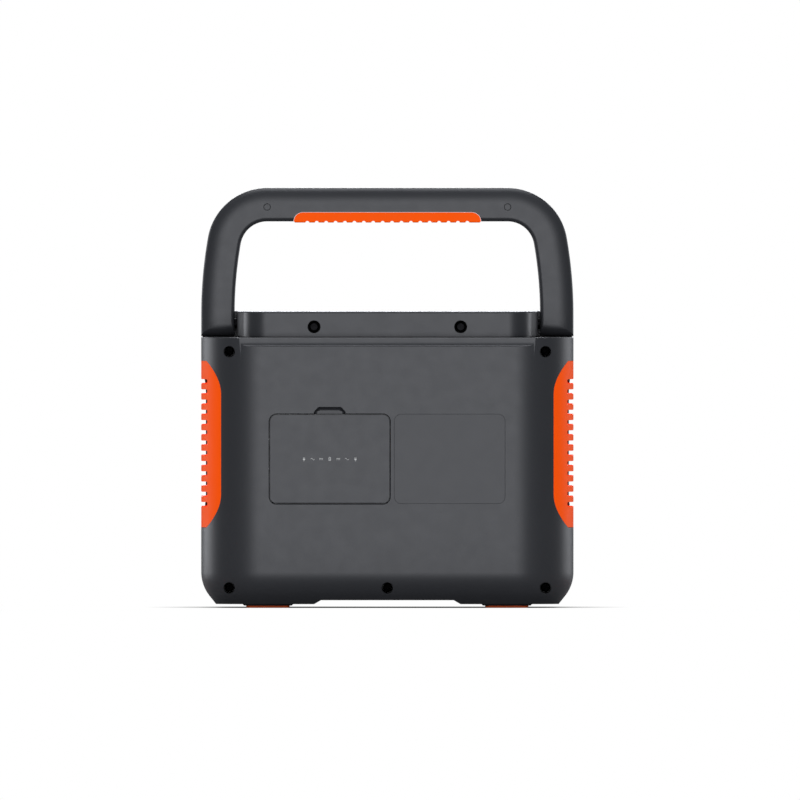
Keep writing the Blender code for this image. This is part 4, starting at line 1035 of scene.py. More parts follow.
def resurface(node, finish_material, bevel=0.0):
    """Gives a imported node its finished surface, and if wanted a small rounding of its edges."""
    piece = frame["nodes"][node]
    piece.data.materials.clear()
    piece.data.materials.append(finish_material)
    if bevel:
        rounder = piece.modifiers.new("rounded_edges", "BEVEL")
        rounder.width = bevel
        rounder.segments = 2
        rounder.limit_method = "ANGLE"
        rounder.angle_limit = math.radians(35)


for hand, side in (("left", -1), ("right", 1)):
    profile = [
        (-HALF_THICK + 4 * MM, PLUG_RADIUS - 0.1 * MM),
        (-HALF_THICK + 0.7 * MM, PLUG_RADIUS - 0.1 * MM),
        (-HALF_THICK + 0.4 * MM, PLUG_RADIUS - 0.3 * MM),
        (-HALF_THICK + 0.35 * MM, PLUG_RADIUS * 0.5),
        (-HALF_THICK + 0.45 * MM, PLUG_RADIUS * 0.2),
    ]
    plug = loose(turned((side * PLUG.x, PLUG.z), "Y", profile, 40))
    finish(plug, "plug_" + hand, case_grey, "carrying_handle", "handle_plug_" + hand)
resurface("handle_core", mill_aluminium)

# %% [markdown]
# ## Vented side panels
#
# Each side panel follows the case's own curve, so it is cut from the same upright plan: what lies between
# the wall and a line nine millimetres inside it. Thirteen level slots run right across it, and from behind
# they show as a comb of teeth. The teeth have small rounded corners, which the slot cutters leave. In front
# of the fan the floor of seven slots is pierced.

# %% The side panels
SLOTS = 13
SLOT_PITCH = 9.79 * MM
SLOT_HALF = 2.2 * MM
SLOT_DEPTH = 5.8 * MM
SLOT_MIDDLE_Z = FAN_CENTRE[1]
VENT_HALF_LENGTH = 36 * MM


def slot_cutter(side, z):
    """A level slot with rounded outer lips and slightly rounded inner corners, in section across Y."""
    floor_x = WIDTH / 2 - SLOT_DEPTH
    lip, root = 0.9 * MM, 0.8 * MM
    section = [(WIDTH / 2 + 15 * MM, SLOT_HALF + lip), (WIDTH / 2, SLOT_HALF + lip)]
    for step in range(1, 6):
        angle = math.radians(18 * step)
        section.append((WIDTH / 2 - lip * (1 - math.cos(angle)), SLOT_HALF + lip * (1 - math.sin(angle))))
    for step in range(5):
        angle = math.radians(22.5 * step)
        section.append((floor_x + root * (1 - math.sin(angle)), SLOT_HALF - root * (1 - math.cos(angle))))
    outline = [(side * x, z + up) for x, up in section]
    outline += [(side * x, z - up) for x, up in reversed(section)]
    return prism(outline, "Y", -200 * MM, 200 * MM)


for hand, side in (("left", -1), ("right", 1)):
    panel = loose(side_block(side, 0))
    combine(panel, upright(0), "INTERSECT")
    cut(panel, upright(PANEL_DEPTH))
    slots, vents = [], []
    for row in range(SLOTS):
        z = SLOT_MIDDLE_Z + (row - SLOTS // 2) * SLOT_PITCH
        slots.append(slot_cutter(side, z))
        if abs(row - SLOTS // 2) <= 3:
            ends = sorted((side * 160 * MM, side * (WIDTH / 2 - SLOT_DEPTH + MM)))
            window = rounded_rectangle((0, z), (2 * VENT_HALF_LENGTH, 3 * MM), 1.4 * MM, 6)
            vents.append(prism(window, "X", *ends))
    cut(panel, together(slots), together(vents))
    finish(panel, "vent_panel_" + hand, panel_orange, "case", "side_panel_" + hand)
print("slots in each panel:", SLOTS)

# %% [markdown]
# ## The port door
#
# The door lies flush in its opening and turns on a thin steel pin along its lower outer edge. Its outer
# edges are rounded by a third of a millimetre, which is what draws the pale line beside the dark gap. In
# the middle is a small generic mark, a row of pictograms for a plug and for direct current, as a thin pale
# print inlaid flush.

# %% The door and its print
HINGE_REACH = 0.9 * MM
EDGE_ROUND = 0.35 * MM


def rounded_plate(outline, outer_y, inner_y, edge):
    """A plate across Y whose outer face, towards outer_y, has a rounded rim."""
    inwards = 1 if inner_y > outer_y else -1
    profile = []
    for step in range(5):
        angle = math.radians(22.5 * step)
        profile.append((outer_y + inwards * edge * (1 - math.sin(angle)), -edge * (1 - math.cos(angle))))
    profile = [(along, margin) for along, margin in reversed(profile)]
    return shaped(outline, "Y", profile + [(inner_y, 0)])


door = loose(rounded_plate(door_outline, REAR_Y, DOOR_HIGH.y, EDGE_ROUND))
under = arc((hinge_y, hinge_z), (HINGE_REACH, HINGE_REACH), 180, 270, 8)
under += [(hinge_y, DOOR_LOW.z - MM), (REAR_Y - MM, DOOR_LOW.z - MM), (REAR_Y - MM, hinge_z)]
cut(door, prism(under, "X", -150 * MM, 50 * MM))
cut(door, turned((hinge_y, hinge_z), "X", [(-150 * MM, 0.5 * MM), (50 * MM, 0.5 * MM)], 20))

# %% [markdown]
# The mark on the door is a row of small generic pictograms: a plug, a wave for alternating current, a line
# over dashes for direct current, and a cell. It is a pale print, inlaid flush with the face. The same little
# shapes are used again on the outlet panel.


# %% Pictograms
def band(centre, radius, width, start, end, steps=16):
    """Part of a ring, as an outline."""
    outer = arc(centre, (radius + width / 2, radius + width / 2), start, end, steps)
    inner = arc(centre, (radius - width / 2, radius - width / 2), start, end, steps)
    return outer + list(reversed(inner))


def bar(x, z, width, height, corner=0.12 * MM):
    return rounded_rectangle((x, z), (width, height), min(corner, width / 2.1, height / 2.1), 3)


def wave_mark(x, z, size, line):
    """One period of alternating current."""
    points = []
    for step in range(17):
        along = step / 16
        points.append((x + size * (along - 0.5), z + size * 0.22 * math.sin(2 * math.pi * along)))
    return [
        [(px, pz + line / 2) for px, pz in points] + [(px, pz - line / 2) for px, pz in reversed(points)],
    ]


def direct_mark(x, z, size, line):
    """Direct current: a line over three dashes."""
    dashes = [bar(x + size * at, z - size * 0.16, size * 0.22, line) for at in (-0.36, 0, 0.36)]
    return [bar(x, z + size * 0.16, size, line)] + dashes


def plug_mark(x, z, size, line):
    body = arc((x, z), (size * 0.3, size * 0.34), 180, 360, 10)
    prongs = [bar(x + side * size * 0.15, z + size * 0.28, line, size * 0.3) for side in (-1, 1)]
    return [body + [(x + size * 0.3, z + size * 0.1), (x - size * 0.3, z + size * 0.1)]] + prongs + [
        bar(x, z - size * 0.47, line, size * 0.2)
    ]


def cell_mark(x, z, size, line):
    """A battery: an upright frame of four bars, a cap and two levels."""
    half_w, half_h = size * 0.24, size * 0.4
    frame_bars = [bar(x + side * half_w, z, line, 2 * half_h) for side in (-1, 1)]
    frame_bars += [
        bar(x, z + side * (half_h - line / 2), 2 * half_w - line * 1.3, line)
        for side in (-1, 1)
    ]
    levels = [bar(x, z + size * at, size * 0.24, size * 0.11) for at in (-0.2, 0)]
    return frame_bars + [bar(x, z + half_h + line * 0.9, size * 0.2, line)] + levels


def print_of(outlines, near_y, far_y):
    return together([prism(outline, "Y", *sorted((near_y, far_y))) for outline in outlines])


door_marks = []
marks = (plug_mark, wave_mark, direct_mark, cell_mark, direct_mark, wave_mark, plug_mark)
for index, mark in enumerate(marks):
    door_marks += mark(DOOR_MIDDLE[0] + (index - 3) * 8.2 * MM, DOOR_MIDDLE[1], 3.6 * MM, 0.5 * MM)
cut(door, print_of(door_marks, REAR_Y - MM, REAR_Y + 0.3 * MM))
finish(door, "port_door_plate", case_grey, "port_door", "port_door")
print_white = moulded("print_white", (0.62, 0.62, 0.6), (0.5, 0.55), grain=0.2, depth=0.01, mottle=0.02)
door_print = loose(print_of(door_marks, REAR_Y + 0.02 * MM, REAR_Y + 0.29 * MM))
finish(door_print, "door_pictograms", print_white, "port_door")


# %% [markdown]
# ## Behind the door
#
# The bay is a black tray. Its floor holds an inlet for the mains lead, two round sockets for solar panels
# and a wide one for a second battery. Each stands a little proud of the floor, on a flange with a rounded
# edge.

# %% The bay and its sockets
FIT = 0.3 * MM
BAY_LOW, BAY_HIGH = box_of("port_bay")
PORT_FACE = BAY_HIGH.y - 2 * MM


def port_outline(margin):
    return door_outline(margin + DOOR_GAP)


bay = loose(
    shaped(
        port_outline,
        "Y",
        [(BAY_LOW.y, -0.4 * MM), (BAY_LOW.y + 0.3 * MM, -FIT), (COLLAR_Y + 2 * MM, -FIT)],
    ),
)
join(
    bay,
    shaped(
        port_outline,
        "Y",
        [(COLLAR_Y, -3.5 * MM), (BAY_HIGH.y - 0.5 * MM, -3.5 * MM), (BAY_HIGH.y, -4 * MM)],
    ),
)
cut(bay, opening(port_outline, BAY_LOW.y, 1, PORT_FACE - BAY_LOW.y, -5.5 * MM, 0.8 * MM))


def socket_body(node, size, corner, flange, floor_y, user_side):
    """A block through a panel, with a flange whose near edge is rounded. user_side is -1 or +1 along Y."""
    low, high = box_of(node)
    near, far = (low.y, high.y) if user_side < 0 else (high.y, low.y)
    outline = framed((middle_of(node).x, middle_of(node).z), size, corner)
    away = -user_side
    profile = []
    for angle in (math.radians(turn) for turn in (90, 60, 30, 0)):
        rim_y, rim_in = 0.6 * MM * (1 - math.sin(angle)), 0.6 * MM * (1 - math.cos(angle))
        profile.append((near + away * rim_y, -rim_in))
    body = loose(shaped(outline, "Y", profile + [(far, 0)]))
    collar = [(near + away * 0.2 * MM, flange - 0.7 * MM), (near + away * 0.45 * MM, flange - 0.2 * MM)]
    collar += [(near + away * 0.9 * MM, flange), (floor_y - away * 0.05 * MM, flange)]
    join(body, shaped(outline, "Y", collar))
    cut(bay, shaped(lambda margin: outline(margin + FIT), "Y", [(floor_y - MM, 0), (BAY_HIGH.y + MM, 0)]))
    return body, outline


inlet, _ = socket_body("ac_inlet", (28 * MM, 20 * MM), 3 * MM, 3 * MM, PORT_FACE, -1)
INLET_X, INLET_Z = middle_of("ac_inlet").x, middle_of("ac_inlet").z
mouth = framed((INLET_X, INLET_Z), (24 * MM, 16.4 * MM), 2 * MM)
cut(
    inlet,
    opening(mouth, box_of("ac_inlet")[0].y, 1, PORT_FACE + 12 * MM - box_of("ac_inlet")[0].y, 0, 0.5 * MM),
)
for x, z in ((-7, -1.6), (7, -1.6), (0, 2.4)):
    place = (INLET_X + x * MM, INLET_Z + z * MM)
    blade = [(PORT_FACE + 3 * MM, -0.5 * MM), (PORT_FACE + 4 * MM, 0), (PORT_FACE + 13 * MM, 0)]
    join(inlet, shaped(framed(place, (2 * MM, 4 * MM), 0.5 * MM), "Y", blade))
finish(inlet, "mains_inlet", fitting_black, "case", "ac_inlet")

for number in (1, 2):
    node = "dc_input_socket_%d" % number
    jack, _ = socket_body(node, (17 * MM, 17 * MM), 8.4 * MM, 2 * MM, PORT_FACE, -1)
    place = (middle_of(node).x, middle_of(node).z)
    mouth_y = box_of(node)[0].y
    cut(
        jack,
        turned(
            place,
            "Y",
            [
                (mouth_y - MM, 4.8 * MM),
                (mouth_y, 4.8 * MM),
                (mouth_y + 0.7 * MM, 4.1 * MM),
                (PORT_FACE + 10 * MM, 4.1 * MM),
            ],
        ),
    )
    cut(jack, turned(place, "Y", [(mouth_y - MM, 6.9 * MM), (mouth_y + 0.5 * MM, 6.9 * MM)]))
    join(
        jack,
        turned(
            place,
            "Y",
            [(PORT_FACE + MM, 0.3 * MM), (PORT_FACE + 1.5 * MM, 0.6 * MM), (PORT_FACE + 11 * MM, 0.6 * MM)],
            20,
        ),
    )
    finish(jack, "solar_input_%d" % number, fitting_black, "case", node)

link, _ = socket_body("expansion_connector", (62 * MM, 17 * MM), 4 * MM, 3 * MM, PORT_FACE, -1)
LINK_X, LINK_Z = middle_of("expansion_connector").x, middle_of("expansion_connector").z
LINK_Y = box_of("expansion_connector")[0].y
mouth = framed((LINK_X, LINK_Z), (56 * MM, 11 * MM), 3 * MM)
cut(link, opening(mouth, LINK_Y, 1, PORT_FACE + 9 * MM - LINK_Y, 0, 0.5 * MM))
for x in (-20, -10, 10, 20):
    profile = [
        (PORT_FACE + 0.5 * MM, 1.6 * MM),
        (PORT_FACE + 1.1 * MM, 2.2 * MM),
        (PORT_FACE + 10 * MM, 2.2 * MM),
    ]
    join(link, turned((LINK_X + x * MM, LINK_Z), "Y", profile, 32))
finish(link, "battery_link", fitting_black, "case", "expansion_connector")
finish(bay, "port_tray", fitting_black, "case", "port_bay")

# %% [markdown]
# ## Label, feet and screws
#
# The label plate has the case's own colour and lies a hair below the face, so that only its outline shows.
# The feet are orange rubber pads. The screws are blackened steel, so their recesses look like dark
# holes: each is a pan head with a hexagonal socket. The deck's two recesses are also lined with near-black
# cups, which is painted shade.

# %% Label, feet and screws
label_grey = moulded(
    "label_grey",
    (0.034, 0.035, 0.039),
    (0.395, 0.41),
    grain=0.3,
    depth=0.03,
    mottle=0.01,
    specular=0.4,
)
plate = loose(
    shaped(
        label_outline,
        "Y",
        [(LABEL_LOW.y, -0.12 * MM), (LABEL_LOW.y + 0.12 * MM, 0), (LABEL_HIGH.y, 0)],
    ),
)
finish(plate, "label", label_grey, "case", "label_plate")

foot_orange = moulded("foot_orange", (0.8, 0.1, 0.006), (0.6, 0.7), grain=0.5, depth=0.08, mottle=0.04)
for end, y in (("rear", -FOOT_Y), ("front", FOOT_Y)):
    for hand, x in (("left", -FOOT_X), ("right", FOOT_X)):
        node = "foot_%s_%s" % (end, hand)
        low, high = box_of(node)
        top_size = (high.x - low.x, high.y - low.y)
        rings = []
        for z, inset in ((0, 0.9 * MM), (0.25 * MM, 0.55 * MM), (0.7 * MM, 0.3 * MM), (high.z, 0)):
            size = (top_size[0] - 2 * inset, top_size[1] - 2 * inset)
            rings.append([(px, py, z) for px, py in rounded_rectangle((x, y), size, 5 * MM - inset, 8)])
        foot = loose(lofted(rings))
        treads = [
            block(
                (x - 30 * MM, y + at * MM - 0.5 * MM, -MM),
                (x + 30 * MM, y + at * MM + 0.5 * MM, 0.5 * MM),
            )
            for at in (-6, -2, 2, 6)
        ]
        cut(foot, together(treads))
        finish(foot, "foot_pad_%s_%s" % (end, hand), foot_orange, "case", node)

black_zinc = bare_metal("black_zinc", (0.012, 0.012, 0.013), (0.45, 0.55), (1.0, 1.0, 1.0))


def screw(node):
    low, high = box_of(node)
    place = (middle_of(node).x, middle_of(node).z)
    head = (high.x - low.x) / 2
    shank = 1.9 * MM if head < 5 * MM else 2.0 * MM
    tall = 2.6 * MM
    profile = [(low.y, head - 1.1 * MM)]
    for step in range(1, 5):
        angle = math.radians(22.5 * step)
        profile.append((low.y + 1.1 * MM * (1 - math.cos(angle)), head - 1.1 * MM * (1 - math.sin(angle))))
    profile += [(low.y + tall, head), (low.y + tall, shank), (high.y - 1.5 * MM, shank), (high.y, 0.6 * MM)]
    piece = loose(turned(place, "Y", profile))
    cut(piece, turned(place, "Y", [(low.y - MM, 1.75 * MM), (low.y + 1.5 * MM, 1.75 * MM)], 6))
    finish(
        piece,
        node.replace("case_screw", "shell_bolt").replace("deck_screw", "deck_bolt"),
        black_zinc,
        "case",
        node,
    )


for node in [name for name in frame["nodes"] if "_screw_" in name]:
    screw(node)
for node in ("hinge_pin_left", "hinge_pin_right", "port_door_pin"):
    resurface(node, black_zinc)
# Painted shade: near-black matte cups line the deck's screw recesses and darken them.
painted_shade_black = moulded("painted_shade_black", (0.003, 0.003, 0.003), (0.7, 0.8), mottle=0.01, specular=0.05)
for hand, side in (("left", -1), ("right", 1)):
    place = (side * DECK_SCREW_X, DECK_SCREW_Z)
    recess_shade = loose(
        turned(place, "Y", [(DECK_REAR_Y + 0.4 * MM, 5.98 * MM), (DECK_SEAT_Y - 0.02 * MM, 5.98 * MM)]),
    )
    cut(recess_shade, turned(place, "Y", [(DECK_REAR_Y - MM, 5.6 * MM), (DECK_SEAT_Y - 0.4 * MM, 5.6 * MM)]))
    cut(recess_shade, turned(place, "Y", [(DECK_REAR_Y - MM, 2.2 * MM), (DECK_SEAT_Y + MM, 2.2 * MM)], 24))
    finish(recess_shade, "deck_recess_shade_" + hand, painted_shade_black, "case")

# %% [markdown]
# ## The outlet panel
#
# The front face is a black panel with three mains outlets, four USB ports, a vehicle socket, a display, a
# lamp and four buttons. Each fitting is pushed through its own hole. The panel's holes have small lips, and
# so do the fittings, so every joint reads as a fine dark line. The socket pattern and the symbols are
# generic.

# %% The panel and its fittings
fascia = loose(
    shaped(
        fascia_outline,
        "Y",
        [
            (FASCIA_BACK, 0),
            (FASCIA_FACE - 0.4 * MM, 0),
            (FASCIA_FACE - 0.12 * MM, -0.12 * MM),
            (FASCIA_FACE, -0.4 * MM),
        ],
    )
)


def through_fascia(outline, lip=0.25 * MM):
    cut(fascia, opening(outline, FASCIA_FACE, -1, 10 * MM, FIT, lip))


def domed(outline, back_y, face_y, edge):
    """A fitting that faces +Y, with a rounded rim."""
    profile = [(back_y, 0)]
    for step in range(5):
        angle = math.radians(22.5 * step)
        profile.append((face_y - edge * (1 - math.sin(angle)), -edge * (1 - math.cos(angle))))
    return loose(shaped(outline, "Y", profile))


def fitting(node, corner, edge):
    """The rounded block that stands for a node, and its outline."""
    low, high = box_of(node)
    outline = framed(((low.x + high.x) / 2, (low.z + high.z) / 2), (high.x - low.x, high.z - low.z), corner)
    through_fascia(outline)
    return domed(outline, low.y, high.y, edge), outline


for number in (1, 2, 3):
    node = "ac_outlet_%d" % number
    outlet, outline = fitting(node, 6 * MM, 0.5 * MM)
    x, z, face_y = middle_of(node).x, middle_of(node).z, box_of(node)[1].y
    dish = framed((x, z), (26 * MM, 30 * MM), 9 * MM)
    cut(
        outlet,
        shaped(dish, "Y", [(face_y + MM, 0.3 * MM), (face_y, 0.3 * MM), (face_y - 0.5 * MM, -0.3 * MM)]),
    )
    for at, tall in ((-6.4, 7.0), (6.4, 8.6)):
        slit = framed((x + at * MM, z + 4 * MM), (2 * MM, tall * MM), 0.3 * MM)
        cut(outlet, opening(slit, face_y - 0.5 * MM, -1, 17 * MM, 0, 0.35 * MM))
    earth = [
        (face_y + MM, 2.8 * MM),
        (face_y - 0.5 * MM, 2.8 * MM),
        (face_y - 0.9 * MM, 2.4 * MM),
        (face_y - 17 * MM, 2.4 * MM),
    ]
    cut(outlet, turned((x, z - 8 * MM), "Y", earth, 32))
    finish(outlet, "mains_outlet_%d" % number, fitting_black, "case", node)

usb, _ = fitting("usb_module", 5 * MM, 0.5 * MM)
USB_X, USB_Z, USB_Y = middle_of("usb_module").x, middle_of("usb_module").z, box_of("usb_module")[1].y
tongues = []
for at, width, height, deep in ((-24, 13, 5.4, 14), (-7, 13, 5.4, 14), (9, 9.2, 3.4, 8), (24, 9.2, 3.4, 8)):
    wide = height > 4
    place = (USB_X + at * MM, USB_Z)
    mouth = framed(place, (width * MM, height * MM), (0.5 if wide else 1.6) * MM)
    cut(usb, opening(mouth, USB_Y, -1, deep * MM, 0, 0.3 * MM))
    if not wide:
        tongue = framed(place, (6.6 * MM, 0.8 * MM), 0.3 * MM)
        tongues.append(
            shaped(
                tongue,
                "Y",
                [(USB_Y - 8.5 * MM, 0), (USB_Y - 1.6 * MM, 0), (USB_Y - 1.3 * MM, -0.2 * MM)],
            ),
        )
join(usb, together(tongues))
finish(usb, "usb_ports", fitting_black, "case", "usb_module")

lamp, _ = fitting("light_lens", 6 * MM, 0.7 * MM)
LAMP_Y = box_of("light_lens")[1].y
lamp_x, lamp_z = middle_of("light_lens").x, middle_of("light_lens").z
flutes = []
for step in range(13):
    place = (lamp_x + (step - 6) * 2.7 * MM, LAMP_Y + 0.75 * MM)
    flutes.append(prism(circle(place, MM, 20), "Z", lamp_z - 6 * MM, lamp_z + 6 * MM))
cut(lamp, together(flutes))
display, _ = fitting("display_lens", 4 * MM, 0.25 * MM)

# %% [markdown]
# The vehicle socket is a round well with two ears that carry its cap. The cap and the buttons are domed a
# little, so that they catch the light. Each button has its symbol inlaid: a power ring, direct current, a
# wave, and rays for the lamp.

# %% Vehicle socket, cap and buttons
hinges = {joint["name"]: joint for joint in frame["joints"]}
CAP_Y, CAP_Z = hinges["socket_cap_hinge"]["pos_m"][1:]
CAR_X = hinges["socket_cap_hinge"]["pos_m"][0]
CAR_Z = CAP_Z - 16.2 * MM
CAR_FACE = FASCIA_BACK + 0.8 * MM
through_fascia(lambda margin: circle((CAR_X, CAR_Z), 19 * MM + margin, 96), 0.4 * MM)
well = [(88 * MM, 13.5 * MM), (FASCIA_BACK - 0.3 * MM, 13.5 * MM), (FASCIA_BACK - 0.3 * MM, 19 * MM)]
well += [(CAR_FACE - 0.3 * MM, 19 * MM), (CAR_FACE, 18.7 * MM)]
socket = loose(turned((CAR_X, CAR_Z), "Y", well, 96))
for at in (-6, 6):
    profile = [
        (CAR_FACE - MM, CAP_Z + 1.3 * MM),
        (CAR_FACE - MM, CAP_Z - 1.3 * MM),
    ] + arc((CAP_Y, CAP_Z), (1.3 * MM, 1.3 * MM), -90, 90, 12)
    join(socket, prism(profile, "X", CAR_X + at * MM - 1.4 * MM, CAR_X + at * MM + 1.4 * MM))
join(socket, turned((CAP_Y, CAP_Z), "X", [(CAR_X - 6 * MM, 0.7 * MM), (CAR_X + 6 * MM, 0.7 * MM)], 24))
cut(
    socket,
    turned(
        (CAR_X, CAR_Z),
        "Y",
        [
            (91 * MM, 10.6 * MM),
            (CAR_FACE - MM, 10.6 * MM),
            (CAR_FACE, 11.5 * MM),
            (CAR_FACE + MM, 12.5 * MM),
        ],
        72,
    ),
)
finish(socket, "vehicle_socket", fitting_black, "case", "car_socket")

CAP_LOW, CAP_HIGH = FRONT_Y - 2.7 * MM, FRONT_Y - 0.3 * MM
cap = loose(
    turned(
        (CAR_X, CAR_Z),
        "Y",
        [
            (CAP_LOW, 12.9 * MM),
            (CAP_LOW + 0.3 * MM, 13.2 * MM),
            (CAP_HIGH - 0.8 * MM, 13.2 * MM),
            (CAP_HIGH - 0.25 * MM, 12.9 * MM),
            (CAP_HIGH, 12.3 * MM),
        ],
        72,
    )
)
join(
    cap,
    block(
        (CAR_X - 4.3 * MM, CAP_LOW + 0.1 * MM, CAR_Z + 8 * MM),
        (CAR_X + 4.3 * MM, CAP_HIGH - 0.1 * MM, CAP_Z),
    ),
    turned((CAP_Y, CAP_Z), "X", [(CAR_X - 4.3 * MM, 1.3 * MM), (CAR_X + 4.3 * MM, 1.3 * MM)], 32),
)
cut(
    cap,
    turned((CAP_Y, CAP_Z), "X", [(CAR_X - 20 * MM, 0.8 * MM), (CAR_X + 20 * MM, 0.8 * MM)], 24),
    turned((CAR_X, CAR_Z), "Y", [(CAP_HIGH - 0.5 * MM, 9 * MM), (CAP_HIGH + MM, 10.5 * MM)], 72),
    prism(bar(CAR_X, CAR_Z - 12.6 * MM, 9 * MM, 1.2 * MM), "Y", CAP_HIGH - 0.6 * MM, CAP_HIGH + MM),
)
finish(cap, "vehicle_socket_cap", fitting_black, "socket_cap", "car_socket_cap")


def power_mark(x, z, size, line):
    return [band((x, z), size * 0.4, line, 125, 415, 24), bar(x, z + size * 0.34, line, size * 0.4)]


def lamp_mark(x, z, size, line):
    outlines = [band((x, z), size * 0.16, line, 0, 179, 10), band((x, z), size * 0.16, line, 180, 359, 10)]
    for step in range(8):
        angle = math.radians(45 * step)
        start, end = size * 0.3, size * 0.48
        across = (-math.sin(angle) * line / 2, math.cos(angle) * line / 2)
        outlines.append([(x + r * math.cos(angle) + s * across[0], z + r * math.sin(angle) + s * across[1])
                         for r, s in ((start, 1), (start, -1), (end, -1), (end, 1))])
    return outlines


SYMBOLS = {
    "power_button": power_mark,
    "light_button": lamp_mark,
    "dc_button": direct_mark,
    "ac_button": wave_mark,
}
for name, mark in SYMBOLS.items():
    low, high = box_of(name)
    x, z = middle_of(name).x, middle_of(name).z
    radius = (high.x - low.x) / 2 - 1.2 * MM
    through_fascia(lambda margin: circle((x, z), radius + margin, 72))
    profile = [
        (low.y, radius + 1.2 * MM),
        (low.y + 1.2 * MM, radius + 1.2 * MM),
        (low.y + 1.2 * MM, radius),
    ]
    profile += [
        (high.y - 0.8 * MM, radius),
        (high.y - 0.35 * MM, radius - 0.2 * MM),
        (high.y - 0.1 * MM, radius - 0.6 * MM),
    ]
    profile += [
        (high.y, radius - 1.3 * MM),
        (high.y - 0.15 * MM, radius * 0.6),
        (high.y - 0.25 * MM, radius * 0.3),
    ]
    button = loose(turned((x, z), "Y", profile, 72))
    outlines = mark(x, z, radius * 1.15, 0.5 * MM if radius > 5 * MM else 0.35 * MM)
    cut(button, print_of(outlines, high.y - 0.6 * MM, high.y + MM))
    symbol = loose(print_of(outlines, high.y - 0.58 * MM, high.y - 0.3 * MM))
    finish(button, name + "_cap", fitting_black, name, name)
    finish(symbol, name + "_symbol", print_white, name)
finish(fascia, "outlet_panel", fitting_black, "case", "front_fascia")

# %% [markdown]
# ## Display and lamp
#
# The display is dark glass with a clear coat. On it glow a ring of ten segments for the charge, and two
# columns of bars for power in and out. The lamp's lens is milky and fluted, and lets a little light into
# its depth.

# %% Display and lamp
dark_glass = bpy.data.materials.new("dark_glass")
dark_glass.use_nodes = True
nodes, links = dark_glass.node_tree.nodes, dark_glass.node_tree.links
shader = nodes["Principled BSDF"]
shader.inputs["Base Color"].default_value = (0.004, 0.005, 0.007, 1)
shader.inputs["Coat Weight"].default_value = 1.0
shader.inputs["Coat Roughness"].default_value = 0.03
place = nodes.new("ShaderNodeTexCoord").outputs["Object"]
links.new(spread(nodes, links, noise(nodes, links, place, 25.0), 0.06, 0.12), shader.inputs["Roughness"])

milky = moulded("milky_lens", (0.86, 0.86, 0.82), (0.18, 0.26), grain=1.2, depth=0.02, mottle=0.02)
milky.node_tree.nodes["Principled BSDF"].inputs["Subsurface Weight"].default_value = 0.4
milky.node_tree.nodes["Principled BSDF"].inputs["Subsurface Radius"].default_value = (0.004, 0.004, 0.004)
finish(lamp, "lamp_lens", milky, "case", "light_lens")


def glowing(name, colour, strength):
    made = bpy.data.materials.new(name)
    made.use_nodes = True
    nodes, links = made.node_tree.nodes, made.node_tree.links
    shader = nodes["Principled BSDF"]
    shader.inputs["Base Color"].default_value = (*[channel * 0.3 for channel in colour], 1)
    shader.inputs["Emission Color"].default_value = (*colour, 1)
    place = nodes.new("ShaderNodeTexCoord").outputs["Object"]
    glow = spread(nodes, links, noise(nodes, links, place, 300.0), strength * 0.85, strength)
    links.new(glow, shader.inputs["Emission Strength"])
    return made


cool_glow = glowing("cool_glow", (0.55, 0.85, 1.0), 0.9)
warm_glow = glowing("warm_glow", (1.0, 0.3, 0.05), 0.9)
finish(display, "display_glass", dark_glass, "case", "display_lens")
DISPLAY_X, DISPLAY_Z, DISPLAY_Y = middle_of(
    "display_lens",
).x, middle_of("display_lens").z, box_of("display_lens")[1].y
segments = []
for step in range(10):
    start = 90 + 36 * step
    segments.append(band((DISPLAY_X, DISPLAY_Z), 12 * MM, 2 * MM, start + 3, start + 33, 8))
bars = []
for side in (-1, 1):
    for level in range(5):
        bar_x, bar_z = DISPLAY_X + side * (24 + 3.2 * level) * MM, DISPLAY_Z + (0.6 * level - 4.5) * MM
        bars.append(bar(bar_x, bar_z, 2 * MM, (3 + 1.2 * level) * MM))
cool = segments[:8] + bars[:3] + bars[5:9] + cell_mark(DISPLAY_X, DISPLAY_Z, 9 * MM, 0.7 * MM)
cool += wave_mark(DISPLAY_X - 30 * MM, DISPLAY_Z + 7 * MM, 7 * MM, 0.6 * MM)
cool += direct_mark(DISPLAY_X + 30 * MM, DISPLAY_Z + 7 * MM, 7 * MM, 0.6 * MM)
cool_print = loose(print_of(cool, DISPLAY_Y - 0.1 * MM, DISPLAY_Y + 0.03 * MM))
finish(cool_print, "display_signs", cool_glow, "case")
warm_print = loose(print_of(segments[8:], DISPLAY_Y - 0.1 * MM, DISPLAY_Y + 0.03 * MM))
finish(warm_print, "display_spent", warm_glow, "case")

panel_marks = []
for number in (1, 2, 3):
    panel_marks += wave_mark(middle_of("ac_outlet_%d" % number).x, 118.5 * MM, 6 * MM, 0.6 * MM)
panel_marks += direct_mark(CAR_X, 81.5 * MM, 7 * MM, 0.6 * MM)
panel_marks += direct_mark(USB_X, 177.5 * MM, 7 * MM, 0.6 * MM)
panel_print = loose(print_of(panel_marks, FASCIA_FACE - 0.1 * MM, FASCIA_FACE + 0.03 * MM))
finish(panel_print, "panel_pictograms", print_white, "case")

# %% [markdown]
# ## Inside
#
# The inside hardly shows, but every piece gets its own surface: a wrapped battery, green boards with paler
# tracks, aluminium heat sinks, a transformer wound in copper under tape, and dark fans.

# %% The pieces inside


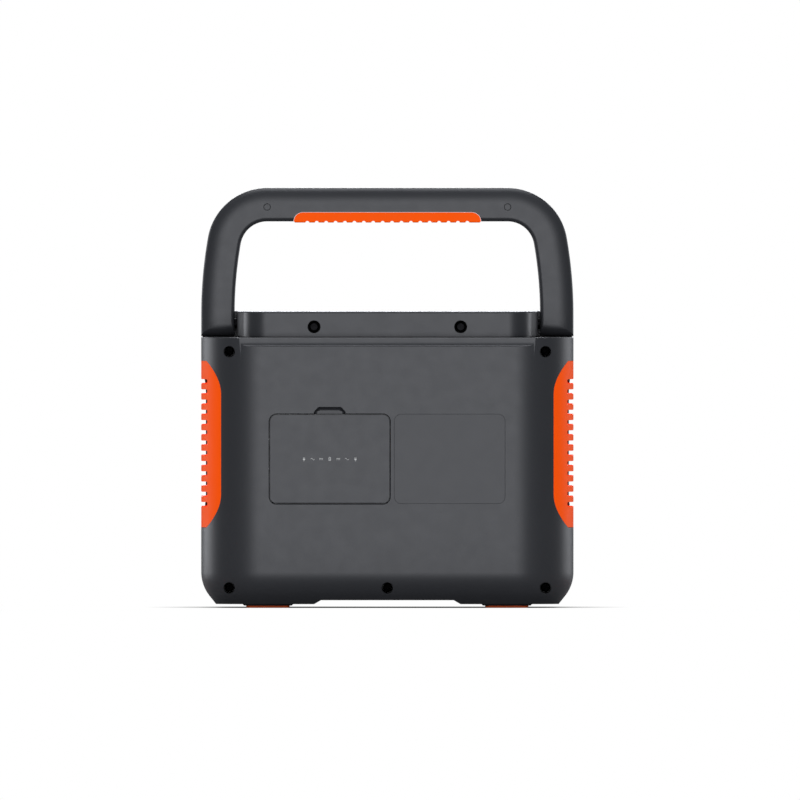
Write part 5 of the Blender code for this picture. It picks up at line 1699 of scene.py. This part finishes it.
def patterned(name, colour, other, scale, rough, metallic=0.0):
    """A surface in two colours, divided by a stretched cell pattern."""
    made = moulded(name, colour, rough, grain=0.8, depth=0.03, mottle=0.03)
    nodes, links = made.node_tree.nodes, made.node_tree.links
    shader = nodes["Principled BSDF"]
    shader.inputs["Metallic"].default_value = metallic
    cells = nodes.new("ShaderNodeTexVoronoi")
    cells.distance = "CHEBYCHEV"
    mapping = nodes.new("ShaderNodeMapping")
    mapping.inputs["Scale"].default_value = scale
    links.new(nodes.new("ShaderNodeTexCoord").outputs["Object"], mapping.inputs["Vector"])
    links.new(mapping.outputs["Vector"], cells.inputs["Vector"])
    edge = nodes.new("ShaderNodeMapRange")
    edge.inputs["From Min"].default_value = 0.42
    edge.inputs["From Max"].default_value = 0.5
    links.new(cells.outputs["Distance"], edge.inputs["Value"])
    tone = nodes.new("ShaderNodeMix")
    tone.data_type = "RGBA"
    tone.inputs["A"].default_value = (*colour, 1)
    tone.inputs["B"].default_value = (*other, 1)
    links.new(edge.outputs["Result"], tone.inputs["Factor"])
    links.new(tone.outputs["Result"], shader.inputs["Base Color"])
    return made


board_green = patterned("board_green", (0.012, 0.11, 0.045), (0.03, 0.2, 0.09), (120, 120, 120), (0.3, 0.4))
cell_wrap = patterned("cell_wrap", (0.03, 0.07, 0.26), (0.02, 0.05, 0.2), (36, 36, 15), (0.3, 0.42))
coil_copper = patterned("coil_copper", (0.62, 0.28, 0.1), (0.5, 0.4, 0.06), (10, 10, 700), (0.3, 0.4), 0.6)
sleeve_black = moulded("sleeve_black", (0.02, 0.02, 0.024), (0.25, 0.35), grain=0.8, depth=0.03)
resurface("battery_pack", cell_wrap)
resurface("battery_board", board_green, 0.2 * MM)
resurface("inverter_board", board_green, 0.2 * MM)
resurface("display_module", board_green, 0.2 * MM)
resurface("chassis_plate", mill_aluminium, 0.3 * MM)
resurface("transformer", coil_copper, 0.5 * MM)
for hand in ("left", "right"):
    resurface("heat_sink_" + hand, mill_aluminium, 0.3 * MM)
    resurface("capacitor_" + hand, sleeve_black)
    resurface("fan_frame_" + hand, fitting_black, 0.3 * MM)
    resurface("fan_rotor_" + hand, sleeve_black, 0.15 * MM)
print("surfaces:", len(bpy.data.materials))

# %% [markdown]
# ## Sizes and finish
#
# The visual model's box must be the imported model's box, so both are written down side by side.

# %% Sizes and finish
visual_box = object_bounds()
sizes = {
    "packed": [list(corner) for corner in packed_box],
    "visual": [list(corner) for corner in visual_box],
}
for name, corners in sizes.items():
    print(name, [[round(value / MM, 2) for value in corner] for corner in corners])
